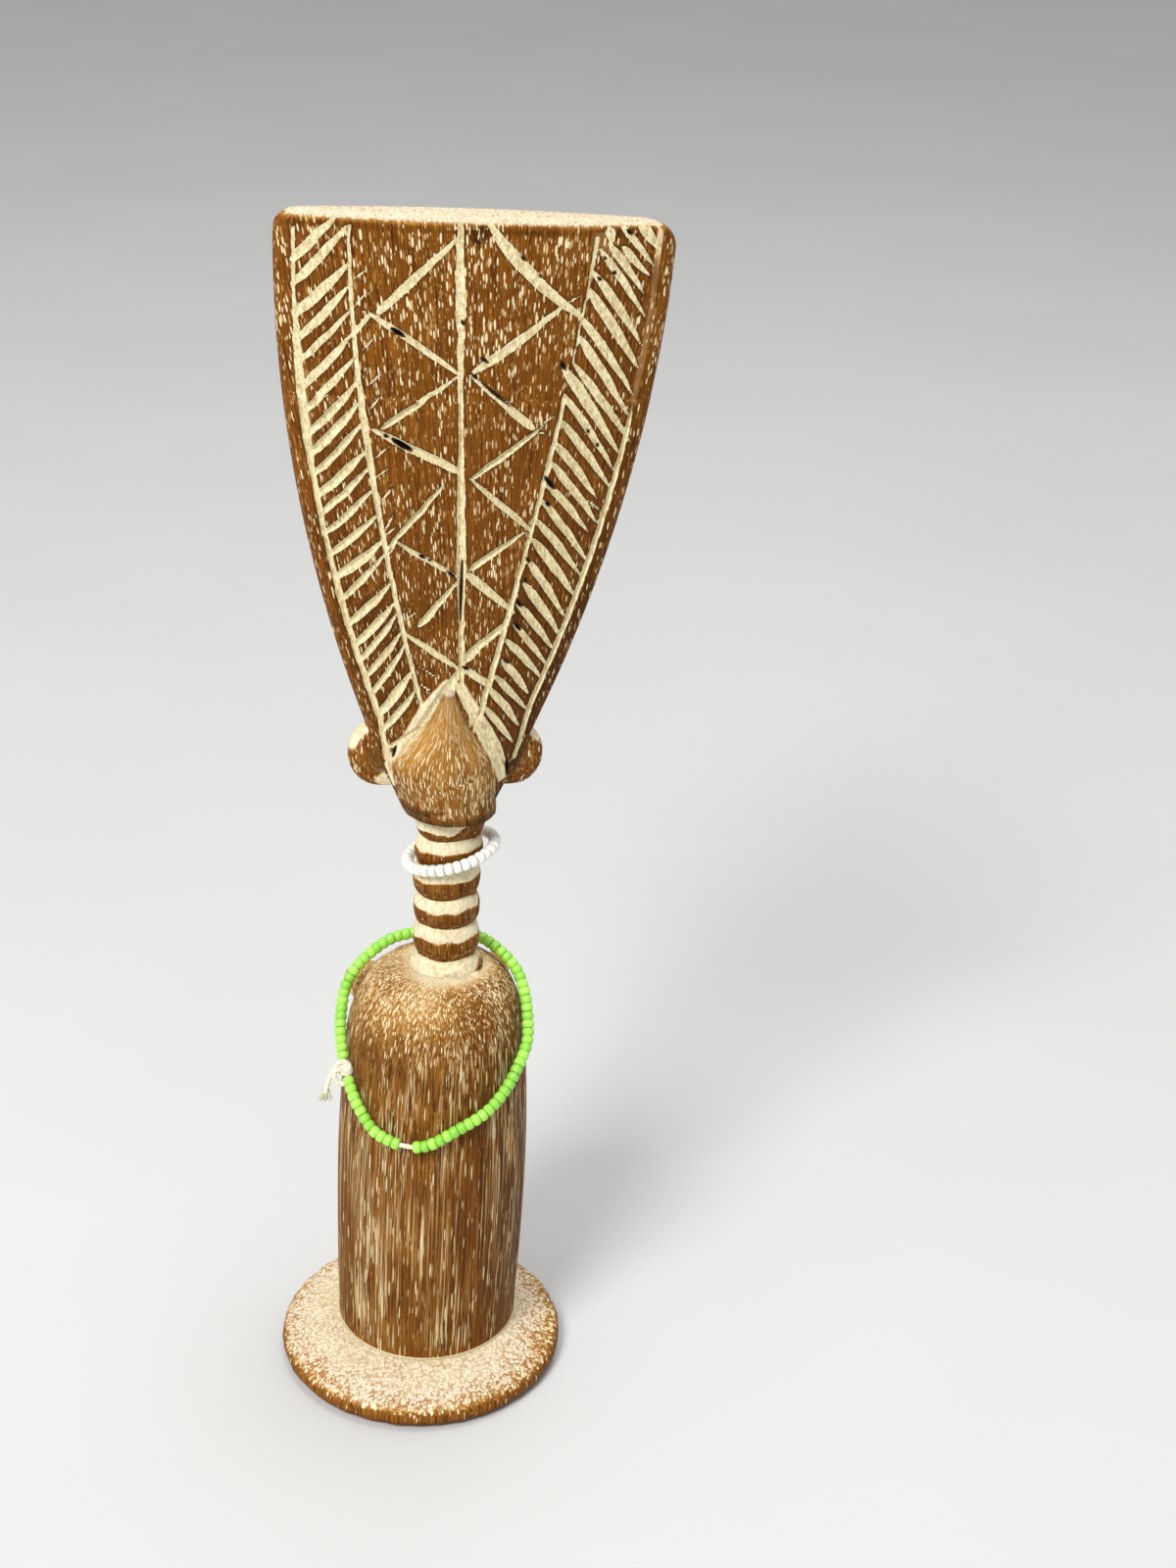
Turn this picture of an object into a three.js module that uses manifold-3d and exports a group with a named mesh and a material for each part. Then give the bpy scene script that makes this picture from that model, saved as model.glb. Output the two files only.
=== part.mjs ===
import * as THREE from 'three';
import Module from 'manifold-3d';

const wasm = await Module();
wasm.setup();

// Driving dimensions in millimetres. The doll stands on z = 0 and its carved back looks toward -Y.
const baseRadius = 36.1;
const baseEdgeThickness = 6.4;
const baseFlatRadius = 33.2;
const bodyRadius = 23.7;
const bodyFootZ = 10.4;
const bodyWaistZ = 52;
const shoulderStartZ = 90;
const shoulderTopZ = 113.3;
const shoulderCrownRadius = 4.5;
const axisY = 1.5;
const axisLean = 4.3 / 152;
const neckHalfWidth = 8.1;
const neckHalfDepth = 7.0;
const neckNotchScale = 0.875;
const neckRingTops = [155.3, 148.6, 141.0, 133.1, 125.3, 116.4];
const headPivotX = 6.2;
const headPivotZ = 160;
const headLean = THREE.MathUtils.degToRad(2.7);
const headTopT = 134.2;
const headWidestT = 136;
const headHalfWidth = 43.2;
const headTaperLength = 161;
const headBackDepth = 7.0;
const headFrontDepth = 8.0;
const headEdgeBack = 4.5;
const headEdgeFront = 4.3;
const grooveInsetLeft = 3.9;
const grooveInsetRight = 4.5;
const beadRadius = 1.5;
const beadHoleRadius = 0.95;
const beadPitch = 2.0;
const threadRadius = 0.6;

const woodColour = 0x7a4526;
const greenGlass = 0x86cf3f;
const whiteGlass = 0xf3f1ea;
const cottonColour = 0xe8e0c4;

// Closed skin over a stack of rings that all have the same number of points
function skin(rings) {
  const sides = rings[0].length;
  const last = rings.length - 1;
  const points = rings.flat().flat();
  const middle = (ring) => [0, 1, 2].map((axis) => ring.reduce((sum, p) => sum + p[axis], 0) / sides);
  points.push(...middle(rings[0]), ...middle(rings[last]));
  const faces = [];
  for (let r = 0; r < last; r += 1) {
    for (let i = 0; i < sides; i += 1) {
      const a = r * sides + i;
      const b = r * sides + ((i + 1) % sides);
      faces.push(a, b, b + sides, a, b + sides, a + sides);
    }
  }
  const foot = rings.length * sides;
  for (let i = 0; i < sides; i += 1) {
    const next = (i + 1) % sides;
    faces.push(foot, next, i);
    faces.push(foot + 1, last * sides + i, last * sides + next);
  }
  let volume = 0;
  for (let f = 0; f < faces.length; f += 3) {
    const corner = [0, 1, 2].map((k) => new THREE.Vector3().fromArray(points, faces[f + k] * 3));
    volume += corner[0].dot(corner[1].cross(corner[2]));
  }
  if (volume < 0) {
    faces.reverse();
  }
  const geometry = new THREE.BufferGeometry();
  geometry.setAttribute('position', new THREE.Float32BufferAttribute(points, 3));
  geometry.setIndex(faces);
  return geometry;
}

function toSolid(geometry) {
  const vertProperties = new Float32Array(geometry.attributes.position.array);
  const triVerts = new Uint32Array(geometry.index.array);
  return new wasm.Manifold(new wasm.Mesh({ numProp: 3, vertProperties, triVerts }));
}

function toGeometry(solid) {
  const mesh = solid.getMesh();
  const geometry = new THREE.BufferGeometry();
  geometry.setAttribute('position', new THREE.Float32BufferAttribute(Array.from(mesh.vertProperties), 3));
  geometry.setIndex(Array.from(mesh.triVerts));
  geometry.computeVertexNormals();
  return geometry;
}

// Level oval ring of points, optionally bulged off the circle by a function of the angle
function ovalRing(x, y, z, halfWidth, halfDepth, sides) {
  return Array.from({ length: sides }, (unused, i) => {
    const turn = (i / sides) * Math.PI * 2;
    return [x + halfWidth * Math.cos(turn), y + halfDepth * Math.sin(turn), z];
  });
}

// Base disc and body: one turned-looking block whose upper part leans and sits a little forward
const bodyAxisX = (z) => 1.6 + axisLean * (z - 8);

function bodyRadiusAt(z) {
  if (z < bodyWaistZ) {
    return bodyRadius - ((z - bodyWaistZ) / 44) ** 2;
  }
  if (z < shoulderStartZ) {
    return bodyRadius - ((z - bodyWaistZ) / 30) ** 2;
  }
  const full = bodyRadius - ((shoulderStartZ - bodyWaistZ) / 30) ** 2;
  const rise = Math.min(1, (z - shoulderStartZ) / (shoulderTopZ - shoulderStartZ));
  return shoulderCrownRadius + (full - shoulderCrownRadius) * (1 - rise ** 1.76) ** (1 / 3.4);
}

const bodySides = 36;
const bodyRings = [];
bodyRings.push(ovalRing(0, 0, 0, baseFlatRadius, baseFlatRadius, bodySides));
for (const angle of [-48, -12, 24, 62]) {
  const bend = THREE.MathUtils.degToRad(angle);
  const half = baseEdgeThickness / 2;
  const radius = baseRadius - half * (1 - Math.cos(bend));
  bodyRings.push(ovalRing(0, 0, half + half * Math.sin(bend), radius, radius, bodySides));
}
bodyRings.push(ovalRing(0.6, 0.7, 7.7, 30.2, 30.2, bodySides));
bodyRings.push(ovalRing(1.3, 1.5, 9.1, 25.6, 25.6, bodySides));
for (const z of [bodyFootZ, 28, 52, 74, shoulderStartZ]) {
  bodyRings.push(ovalRing(bodyAxisX(z), axisY, z, bodyRadiusAt(z), bodyRadiusAt(z), bodySides));
}
for (let step = 1; step <= 6; step += 1) {
  const z = shoulderStartZ + (shoulderTopZ - shoulderStartZ) * Math.sin((step / 6) * Math.PI / 2);
  bodyRings.push(ovalRing(bodyAxisX(z), axisY, z, bodyRadiusAt(z), bodyRadiusAt(z), bodySides));
}
let doll = toSolid(skin(bodyRings));

// Two small pointed breasts high on the face side of the body
for (const side of [-1, 1]) {
  const turn = THREE.MathUtils.degToRad(44) * side;
  const out = new THREE.Vector3(Math.sin(turn), Math.cos(turn), 0.08).normalize();
  const across = new THREE.Vector3(Math.cos(turn), -Math.sin(turn), 0);
  const upward = new THREE.Vector3().crossVectors(across, out);
  const rings = [[15, 7.0], [21, 6.0], [25, 4.2], [27.4, 2.6], [28.6, 1.1]].map(([reach, radius]) =>
    Array.from({ length: 10 }, (unused, i) => {
      const angle = (i / 10) * Math.PI * 2;
      return new THREE.Vector3(bodyAxisX(98), axisY, 98)
        .addScaledVector(out, reach)
        .addScaledVector(across, radius * Math.cos(angle))
        .addScaledVector(upward, radius * Math.sin(angle))
        .toArray();
    }));
  doll = doll.add(toSolid(skin(rings)));
}

// Neck of five stacked rings, each flaring out downward and then tapering into the next notch
const neckAxisX = (z) => 6.3 + 0.055 * Math.max(0, z - 137);
const neckRings = [];
const pushNeck = (z, scale) => {
  neckRings.push(ovalRing(neckAxisX(z), axisY, z, neckHalfWidth * scale, neckHalfDepth * scale, 22));
};
pushNeck(164, neckNotchScale);
for (let ring = 0; ring < 5; ring += 1) {
  const top = neckRingTops[ring];
  const drop = top - neckRingTops[ring + 1];
  pushNeck(top, neckNotchScale);
  pushNeck(top - drop * 0.4, 0.99);
  pushNeck(top - drop * 0.7, 0.985);
}
pushNeck(neckRingTops[5], neckNotchScale);
pushNeck(114.8, 1.06);
pushNeck(109, 1.2);
doll = doll.add(toSolid(skin(neckRings)));

// Head coordinates: s across, t up the head's own leaning axis, y through its thickness
function headPoint(s, y, t) {
  const x = headPivotX + s * Math.cos(headLean) + t * Math.sin(headLean);
  const z = headPivotZ - s * Math.sin(headLean) + t * Math.cos(headLean);
  return [x, axisY + y, z];
}

const outline = (t) => headHalfWidth * (1 - ((headWidestT - t) / headTaperLength) ** 2);
const backY = (s, t) => -headBackDepth + headEdgeBack * (s / outline(t)) ** 2;
const frontY = (s, t) => headFrontDepth - headEdgeFront * (s / outline(t)) ** 2;

// Half width at height t with the two top corners rounded by different amounts
function sideReach(t, cornerRadius) {
  const over = t - (headTopT - cornerRadius);
  if (over <= 0) {
    return outline(t);
  }
  return outline(t) - cornerRadius + Math.sqrt(Math.max(0, cornerRadius ** 2 - over ** 2));
}

function headSection(t, inset) {
  const left = sideReach(t, 4) - inset;
  const right = sideReach(t, 5.5) - inset;
  const spread = [-0.95, -0.67, -0.35, 0, 0.35, 0.67, 0.95];
  const across = (u) => (u < 0 ? u * left : u * right);
  const ring = spread.map((u) => headPoint(across(u), backY(across(u), t) + inset, t));
  ring.push(headPoint(right, -1.2, t), headPoint(right, 2.3, t));
  spread.slice().reverse().forEach((u) => {
    ring.push(headPoint(across(u), frontY(across(u), t) - inset, t));
  });
  ring.push(headPoint(-left, 2.3, t), headPoint(-left, -1.2, t));
  return ring;
}

const headHeights = [-4, 8, 20, 34, 50, 68, 88, 110, 128, 131, 132.8, 133.7];
const headRings = headHeights.map((t) => headSection(t, 0));
headRings.push(headSection(headTopT, 0.6));
doll = doll.add(toSolid(skin(headRings)));

// Rounded cones that grow out of the panel and overhang the neck: nape behind, chin in front
function coneMass(facing, apexT, centreS) {
  const stations = [
    [apexT, 6.5, 0.7, 0],
    [apexT - 9, 5.2, 5.0, 0],
    [apexT - 14, 2.6, 9.0, 0],
    [apexT - 18.5, 0, 12.1, 0],
    [apexT - 22.5, 0, 12.2, 0.1],
    [apexT - 27.5, 0, 11.0, 0.9],
    [apexT - 30.8, 0, 10.0, 1.5],
    [apexT - 32.3, 0, 7.8, 1.6],
  ];
  return toSolid(skin(stations.map(([t, offset, radius, shift]) =>
    Array.from({ length: 18 }, (unused, i) => {
      const angle = (i / 18) * Math.PI * 2;
      const s = centreS + shift + radius * Math.cos(angle);
      return headPoint(s, facing * offset + radius * Math.sin(angle), t);
    }))));
}
doll = doll.add(coneMass(-1, 28.5, -1.8));
doll = doll.add(coneMass(1, 26.5, -0.8));

// Ears: flattened half-round lobes behind the lower edges of the panel
for (const [centreS, centreT, radius] of [[-14.4, 9.4, 9.0], [13.8, 8.6, 8.8]]) {
  const layers = [[-1.6, 0.84], [0, 1], [4, 1], [5.4, 0.82]];
  const rings = layers.map(([y, scale]) => Array.from({ length: 16 }, (unused, i) => {
    const angle = (i / 16) * Math.PI * 2;
    const t = Math.max(1.1, centreT + radius * scale * Math.sin(angle));
    return headPoint(centreS + radius * scale * Math.cos(angle), y, t);
  }));
  doll = doll.add(toSolid(skin(rings)));
}

// Plain stylised face on the far side: long nose, two arched brows, almond eyes, a small mouth
function faceRidge(line, halfWidth, height) {
  const rings = line.map(([s, t], i) => {
    const before = line[Math.max(0, i - 1)];
    const after = line[Math.min(line.length - 1, i + 1)];
    const run = new THREE.Vector2(after[0] - before[0], after[1] - before[1]).normalize();
    const swell = Math.sin(((i + 0.35) / (line.length - 0.3)) * Math.PI);
    const wide = halfWidth * (0.35 + 0.65 * swell);
    const tall = height * (0.3 + 0.7 * swell);
    return [[-1, -1.5], [-0.55, tall * 0.8], [0.55, tall * 0.8], [1, -1.5]].map(([k, lift]) => {
      const ps = s + k * wide * run.y;
      const pt = t - k * wide * run.x;
      return headPoint(ps, frontY(ps, pt) + lift, pt);
    });
  });
  return toSolid(skin(rings));
}

const noseStations = [
  [60, 1.6, 0.6],
  [54, 1.9, 2.0],
  [44, 2.2, 3.2],
  [36, 3.2, 4.6],
  [32, 3.9, 5],
  [30.2, 2.6, 2.2],
];
doll = doll.add(toSolid(skin(noseStations.map(([t, wide, tall]) => [
  headPoint(-wide, frontY(0, t) - 1.5, t),
  headPoint(-wide * 0.8, frontY(0, t) + tall * 0.5, t),
  headPoint(-wide * 0.3, frontY(0, t) + tall, t),
  headPoint(wide * 0.3, frontY(0, t) + tall, t),
  headPoint(wide * 0.8, frontY(0, t) + tall * 0.5, t),
  headPoint(wide, frontY(0, t) - 1.5, t),
]))));
for (const side of [-1, 1]) {
  const brow = Array.from({ length: 8 }, (unused, i) => {
    const angle = THREE.MathUtils.degToRad(170 - i * 20);
    return [side * (11 - 10.4 * Math.cos(angle)), 52 + 8.5 * Math.sin(angle)];
  });
  doll = doll.add(faceRidge(side < 0 ? brow.slice().reverse() : brow, 1.3, 1.6));
  const eye = Array.from({ length: 6 }, (unused, i) => [side * 10.5 + (i - 2.5) * 2.1, 47.5]);
  doll = doll.add(faceRidge(eye, 2.3, 1.5));
}
for (const t of [21.8, 18.6]) {
  const lip = Array.from({ length: 5 }, (unused, i) => [-0.4 + (i - 2) * 2.0, t]);
  doll = doll.add(faceRidge(lip, 1.3, 2.6));
}

// Knife cuts in the carved back: V-shaped, pointed where they start or end
function stroke(line, width, depth, startTaper, endTaper) {
  const above = 0.5;
  const spread = (depth + above) / depth;
  const rings = line.map(([s, t], i) => {
    const before = line[Math.max(0, i - 1)];
    const after = line[Math.min(line.length - 1, i + 1)];
    const run = new THREE.Vector2(after[0] - before[0], after[1] - before[1]).normalize();
    const taper = i === 0 ? startTaper : i === line.length - 1 ? endTaper : 1;
    const reach = (width / 2) * spread * taper;
    const corner = (k) => {
      const ps = s + k * reach * run.y;
      const pt = t - k * reach * run.x;
      return headPoint(ps, backY(ps, pt) - above, pt);
    };
    return [corner(-1), headPoint(s, backY(s, t) + depth * taper, t), corner(1)];
  });
  return toSolid(skin(rings));
}

// Short single cut pointed at both ends, widest and deepest part way along, a little bowed to one side
function nick(a, b, widest, width, depth, bow) {
  const above = 0.4;
  const spread = (depth + above) / depth;
  const run = new THREE.Vector2(b[0] - a[0], b[1] - a[1]);
  const side = new THREE.Vector2(-run.y, run.x).normalize();
  const at = (f, across, lift) => {
    const ps = a[0] + run.x * f + side.x * across;
    const pt = a[1] + run.y * f + side.y * across;
    return headPoint(ps, backY(ps, pt) + lift, pt);
  };
  const corners = [
    at(-0.15, 0, -above), at(1.15, 0, -above), at(widest, bow, depth),
    at(widest, bow + (width / 2) * spread, -above), at(widest, bow - (width / 2) * spread, -above),
  ];
  const geometry = new THREE.BufferGeometry();
  geometry.setAttribute('position', new THREE.Float32BufferAttribute(corners.flat(), 3));
  geometry.setIndex([0, 3, 4, 1, 4, 3, 0, 2, 3, 0, 4, 2, 1, 3, 2, 1, 2, 4]);
  return toSolid(geometry);
}

// The two inner border lines of the herringbone bands and the crooked centre line
const innerLeft = (t) => -27.9 + 20 * ((132 - t) / 108) ** 1.55;
const innerRight = (t) => 24.6 - 19 * (Math.max(0, 132 - t) / 111) ** 1.25;
const centreLine = (t) => -5.0 + (133 - t) * 0.056;
const borderInset = (t, side) => Math.min(side < 0 ? grooveInsetLeft : grooveInsetRight, 1.4 + (t - 8) * 0.2);

const cuts = [];
for (const side of [-1, 1]) {
  const outer = [];
  for (let t = 9; t < 134; t += 13.7) {
    outer.push([side * (outline(t) - borderInset(t, side)), t]);
  }
  cuts.push(stroke(outer, 1.5, 0.8, 0.3, 0.6));
}
const heights = (from, to, count) =>
  Array.from({ length: count }, (unused, i) => from + ((to - from) * i) / (count - 1));
cuts.push(stroke(heights(131.5, 24, 6).map((t) => [innerLeft(t), t]), 1.4, 0.7, 0.5, 0.4));
cuts.push(stroke(heights(131.5, 20, 6).map((t) => [innerRight(t), t]), 1.3, 0.7, 0.3, 0.4));
cuts.push(stroke(heights(133.0, 30, 3).map((t) => [centreLine(t), t]), 2.0, 0.9, 0.7, 0.4));

// Zigzag cuts between the centre line and the two inner borders, each from, to
const zigzagLeft = [
  [-5.7, 129.8, -22.3, 114.0], [-24.2, 114.5, -3.8, 101.6], [-4.2, 101.1, -20.3, 89.3],
  [-21.4, 89.4, -2.4, 80.2], [-6.1, 76.5, -15.5, 63.7], [-17.4, 63.9, -1.7, 56.1],
  [-1.9, 54.2, -9.8, 43.0], [-13.0, 42.1, 0.1, 33.8], [-0.5, 33.1, -7.8, 24.2],
];
const zigzagRight = [
  [1.1, 132.9, 22.0, 115.0], [21.2, 118.6, -0.9, 102.7], [-1.4, 101.4, 13.1, 89.9],
  [15.3, 90.1, 0.1, 78.6], [0.8, 77.5, 14.7, 66.9], [13.0, 66.0, 1.2, 57.9],
  [0.7, 56.3, 11.8, 47.5], [9.5, 43.4, 0.9, 35.8], [1.0, 33.6, 5.9, 28.8],
];
for (const [s0, t0, s1, t1] of zigzagLeft.concat(zigzagRight)) {
  cuts.push(nick([s0, t0], [s1, t1], 0.5, 2.3, 0.9, 0));
}

// Herringbone strokes, left band rising to the inner border, right band falling from it
for (let k = 0; k < 21; k += 1) {
  const low = 124.8 - 5.45 * Math.min(k, 6) - 4.75 * Math.max(0, k - 6);
  const high = Math.min(132.4, low + 11.2);
  const from = [-(outline(low) - borderInset(low, -1) - 1.5), low];
  const full = [innerLeft(Math.min(131.5, low + 11.2)) - 1.3, low + 11.2];
  const to = [from[0] + ((full[0] - from[0]) * (high - low)) / 11.2, high];
  cuts.push(nick(from, to, 0.42, 2.0, 0.8, -0.4));
}
for (let k = -2; k < 25; k += 1) {
  const high = 132 - 4.4 * Math.min(k, 8) - 4.13 * Math.max(0, k - 8) - (k < 0 ? 4.4 * -k : 0);
  const fall = (15.2 - 5.5 * ((high - 88) / 58) ** 2) * (k < 0 ? 1 + 0.28 * k : 1);
  const startS = k < 0 ? 24 - 3.6 * k : innerRight(high) + 1.6;
  const low = high - fall;
  const to = [outline(low) - borderInset(low, 1) - 1.6, low];
  cuts.push(nick([startS, high], to, 0.42, 2.4, 0.85, 0.6));
}
for (const cut of cuts) {
  doll = doll.subtract(cut);
}
// Slivers under three hundredths of a millimetre are merged, loose chips between crossing cuts fall away
doll = doll.asOriginal().simplify(0.03);
doll = doll.decompose().reduce((kept, piece) => (piece.volume() > kept.volume() ? piece : kept));

// Bead strings: fused glass beads swelling and narrowing along a smooth route
const beadSides = 6;

function beadString(curve, from, to) {
  const length = curve.getLength() * (to - from);
  const beads = Math.round(length / beadPitch);
  const stops = [];
  for (let i = 0; i < beads; i += 1) {
    stops.push([i / beads, beadHoleRadius], [(i + 0.5) / beads, beadRadius]);
  }
  stops.push([1, beadHoleRadius]);
  let side = new THREE.Vector3(0.31, 0.17, 0.93);
  const rings = stops.map(([f, radius]) => {
    const u = from + (to - from) * f;
    const tangent = curve.getTangentAt(u);
    side = side.clone().addScaledVector(tangent, -side.dot(tangent)).normalize();
    const up = new THREE.Vector3().crossVectors(tangent, side);
    return Array.from({ length: beadSides }, (unused, i) => {
      const angle = (i / beadSides) * Math.PI * 2;
      return curve.getPointAt(u)
        .addScaledVector(side, radius * Math.cos(angle))
        .addScaledVector(up, radius * Math.sin(angle))
        .toArray();
    });
  });
  return skin(rings);
}

const smooth = (points) =>
  new THREE.CatmullRomCurve3(points.map((p) => new THREE.Vector3(...p)), false, 'centripetal');

// Green string: from the knot on the left round the carved back, the right shoulder and behind the neck
const greenRoute = smooth([
  [-19.0, -6.6, 87.5], [-18.1, -9.8, 84.4], [-16.8, -12.6, 81.9], [-13.7, -16.7, 77.9], [-9.3, -20.1, 76.4],
  [-6.9, -21.4, 76.2], [-4.6, -22.3, 76.2], [-1.3, -23.1, 77.0], [5.1, -23.3, 80.5], [12.6, -21.5, 83.8],
  [18.2, -18.2, 88.1], [21.3, -15.4, 91.9], [24.5, -10.6, 96.2], [25.2, -5.3, 103.0], [24.9, -2.3, 106.0],
  [23.8, 1.4, 109.2], [21.4, 4.3, 111.9], [19.2, 6.5, 113.4], [16.0, 9.9, 114.5], [11.5, 12.6, 115.2],
  [6.0, 13.6, 115.3], [-0.4, 13.4, 115.0], [-5.4, 13.0, 114.2], [-8.6, 12.6, 112.6], [-11.5, 11.6, 110.8],
  [-14.2, 10.4, 108.8], [-16.3, 9.4, 106.3], [-18.0, 8.0, 103.0], [-19.0, 5.6, 99.4], [-19.7, 2.0, 96.3],
  [-19.8, -1.0, 93.4], [-19.6, -3.6, 90.9],
]);
const nearest = (curve, point) => {
  const target = new THREE.Vector3(...point);
  let best = 0;
  for (let i = 0; i <= 2000; i += 1) {
    if (curve.getPointAt(i / 2000).distanceTo(target) < curve.getPointAt(best).distanceTo(target)) {
      best = i / 2000;
    }
  }
  return best;
};
const bareStart = nearest(greenRoute, [-8.3, -20.7, 76.3]);
const bareEnd = nearest(greenRoute, [-5.1, -22.1, 76.2]);

// White string: a tilted ring lying loosely round the second neck ring
const whiteRoute = smooth(Array.from({ length: 37 }, (unused, i) => {
  const turn = THREE.MathUtils.degToRad(96 + (i / 36) * 348);
  const x = 7.4 + 10.4 * Math.cos(turn);
  const y = 2.0 + 9.5 * Math.sin(turn);
  return [x, y, 143.5 + 2.5 * Math.cos(turn) - 0.4 * Math.sin(turn)];
}));

// Cotton thread: plain round cord shown where no bead covers it
function threadTube(points, steps) {
  const curve = smooth(points);
  const disc = new THREE.Shape(Array.from({ length: 8 }, (unused, i) => {
    const angle = (i / 8) * Math.PI * 2;
    return new THREE.Vector2(threadRadius * Math.cos(angle), threadRadius * Math.sin(angle));
  }));
  return new THREE.ExtrudeGeometry(disc, { steps, bevelEnabled: false, extrudePath: curve });
}

const group = new THREE.Group();
group.name = 'akuaba_doll';

function addMesh(name, geometry, color, roughness) {
  const material = new THREE.MeshStandardMaterial({ color, roughness, metalness: 0 });
  const mesh = new THREE.Mesh(geometry, material);
  mesh.name = name;
  group.add(mesh);
}

addMesh('carved_doll', toGeometry(doll), woodColour, 0.6);
addMesh('green_beads_short_run', beadString(greenRoute, 0, bareStart), greenGlass, 0.35);
addMesh('green_beads_long_run', beadString(greenRoute, bareEnd, 1), greenGlass, 0.35);
const bareLine = [0.12, 0.5, 0.88].map((f) =>
  greenRoute.getPointAt(bareStart + (bareEnd - bareStart) * f).toArray());
addMesh('green_thread_bare_stretch', threadTube(bareLine, 2), cottonColour, 0.9);
const tieLine = [
  [-20.3, -4.8, 89.4], [-21.2, -6.0, 88.9], [-22.4, -6.6, 88.2], [-23.6, -6.9, 86.6], [-24.4, -7.0, 84.5],
  [-25.0, -7.2, 82.4], [-25.4, -7.4, 80.8],
];
addMesh('green_thread_tie', threadTube(tieLine, 7), cottonColour, 0.9);
addMesh('white_beads', beadString(whiteRoute, 0, 1), whiteGlass, 0.35);
const whiteEnds = [whiteRoute.getPointAt(1), whiteRoute.getPointAt(0)];
const whiteMiddle = whiteEnds[0].clone().lerp(whiteEnds[1], 0.5).add(new THREE.Vector3(0, 0.2, 0));
const whiteTie = [
  whiteEnds[0].clone().lerp(whiteMiddle, 0.3).toArray(),
  whiteMiddle.toArray(),
  whiteEnds[1].clone().lerp(whiteMiddle, 0.3).toArray(),
];
addMesh('white_thread_tie', threadTube(whiteTie, 2), cottonColour, 0.9);

export default group;
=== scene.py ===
import math

import bpy
import numpy as np
from mathutils import Matrix, Vector
from mathutils.kdtree import KDTree


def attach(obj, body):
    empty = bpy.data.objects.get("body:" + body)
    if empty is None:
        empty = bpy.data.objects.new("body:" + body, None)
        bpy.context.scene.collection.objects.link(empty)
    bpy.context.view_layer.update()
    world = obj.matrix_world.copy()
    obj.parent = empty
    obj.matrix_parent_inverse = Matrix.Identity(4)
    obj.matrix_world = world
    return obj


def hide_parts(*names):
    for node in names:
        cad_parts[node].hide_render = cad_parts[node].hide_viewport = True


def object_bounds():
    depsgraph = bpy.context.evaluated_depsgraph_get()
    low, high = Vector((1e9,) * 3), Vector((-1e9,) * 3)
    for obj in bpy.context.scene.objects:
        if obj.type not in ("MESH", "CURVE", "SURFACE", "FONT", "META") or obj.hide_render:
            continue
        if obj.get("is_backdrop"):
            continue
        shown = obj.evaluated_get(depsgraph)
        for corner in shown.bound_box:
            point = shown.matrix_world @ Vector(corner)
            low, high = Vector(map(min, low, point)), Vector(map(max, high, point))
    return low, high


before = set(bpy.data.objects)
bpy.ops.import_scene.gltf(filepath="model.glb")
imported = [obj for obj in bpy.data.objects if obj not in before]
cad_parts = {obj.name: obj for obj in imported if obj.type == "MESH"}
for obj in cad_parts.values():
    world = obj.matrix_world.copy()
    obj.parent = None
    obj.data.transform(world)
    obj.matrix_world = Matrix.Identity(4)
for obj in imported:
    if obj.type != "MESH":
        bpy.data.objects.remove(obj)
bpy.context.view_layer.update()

# The carved doll: foot disc and body
# One block of wood. The foot is a thick round disc with a soft rim, and the body stands on it as
# a slightly barrelled post with a domed shoulder. Both were shaped with a knife and a rasp.
MM = 0.001
FOOT_RADIUS = 36.1
FOOT_EDGE = 6.4
BODY_RADIUS = 23.7
WIDEST_Z = 52
SHOULDER_Z = 90.0
SHOULDER_TOP_Z = 113.3
DOME_TOP_RADIUS = 4.5
DOLL_Y = 1.5
NO_CUT = -3.0


def ramp(value, low, high):
    """Runs smoothly from 0 at low to 1 at high."""
    f = np.clip((value - low) / (high - low), 0, 1)
    return f * f * (3 - 2 * f)


def band(value, rise, full, fall, gone):
    """0 up to rise, 1 from full to fall, and 0 again from gone."""
    return ramp(value, rise, full) * (1 - ramp(value, fall, gone))


def bell(*offsets):
    """1 where every offset is 0, fading out a unit or two away."""
    return np.exp(-sum(offset**2 for offset in offsets))


def sheet(*axes):
    """Points from their coordinates, each a number, a row, a column or a whole sheet of numbers."""
    return np.stack(np.broadcast_arrays(*axes), -1)


def waves(places, size, seed, lines=7):
    """Hand-made unevenness, about -1 to 1, with bumps of the given size in millimetres."""
    rng = np.random.default_rng(seed)
    total = np.zeros(places.shape[:-1])
    for _ in range(lines):
        way = rng.normal(size=places.shape[-1])
        way *= 2 * math.pi / size * rng.uniform(0.6, 1.5) / np.linalg.norm(way)
        total += np.sin(places @ way + rng.uniform(0, 6.283))
    return total / math.sqrt(lines * 1.3)


def eased(f, a, b, slope_a, slope_b):
    """Smooth curve from a to b that leaves and arrives with the given slopes."""
    return (a * (2 * f**3 - 3 * f**2 + 1) + b * (3 * f**2 - 2 * f**3)
            + slope_a * (f**3 - 2 * f**2 + f) + slope_b * (f**3 - f**2))


def through(stations, fractions):
    """Values on a smooth line through the stations, whose first column is the place along it."""
    stations = np.array(stations, float)
    x, y = stations[:, 0], stations[:, 1:]
    slope = np.gradient(y, x, axis=0)
    i = np.clip(np.searchsorted(x, fractions) - 1, 0, len(x) - 2)
    step = (x[i + 1] - x[i])[:, None]
    f = (np.asarray(fractions) - x[i])[:, None] / step
    return eased(f, y[i], y[i + 1], step * slope[i], step * slope[i + 1])


def put(name, data):
    """A new object in the scene."""
    made = bpy.data.objects.new(name, data)
    bpy.context.scene.collection.objects.link(made)
    return made


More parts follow.
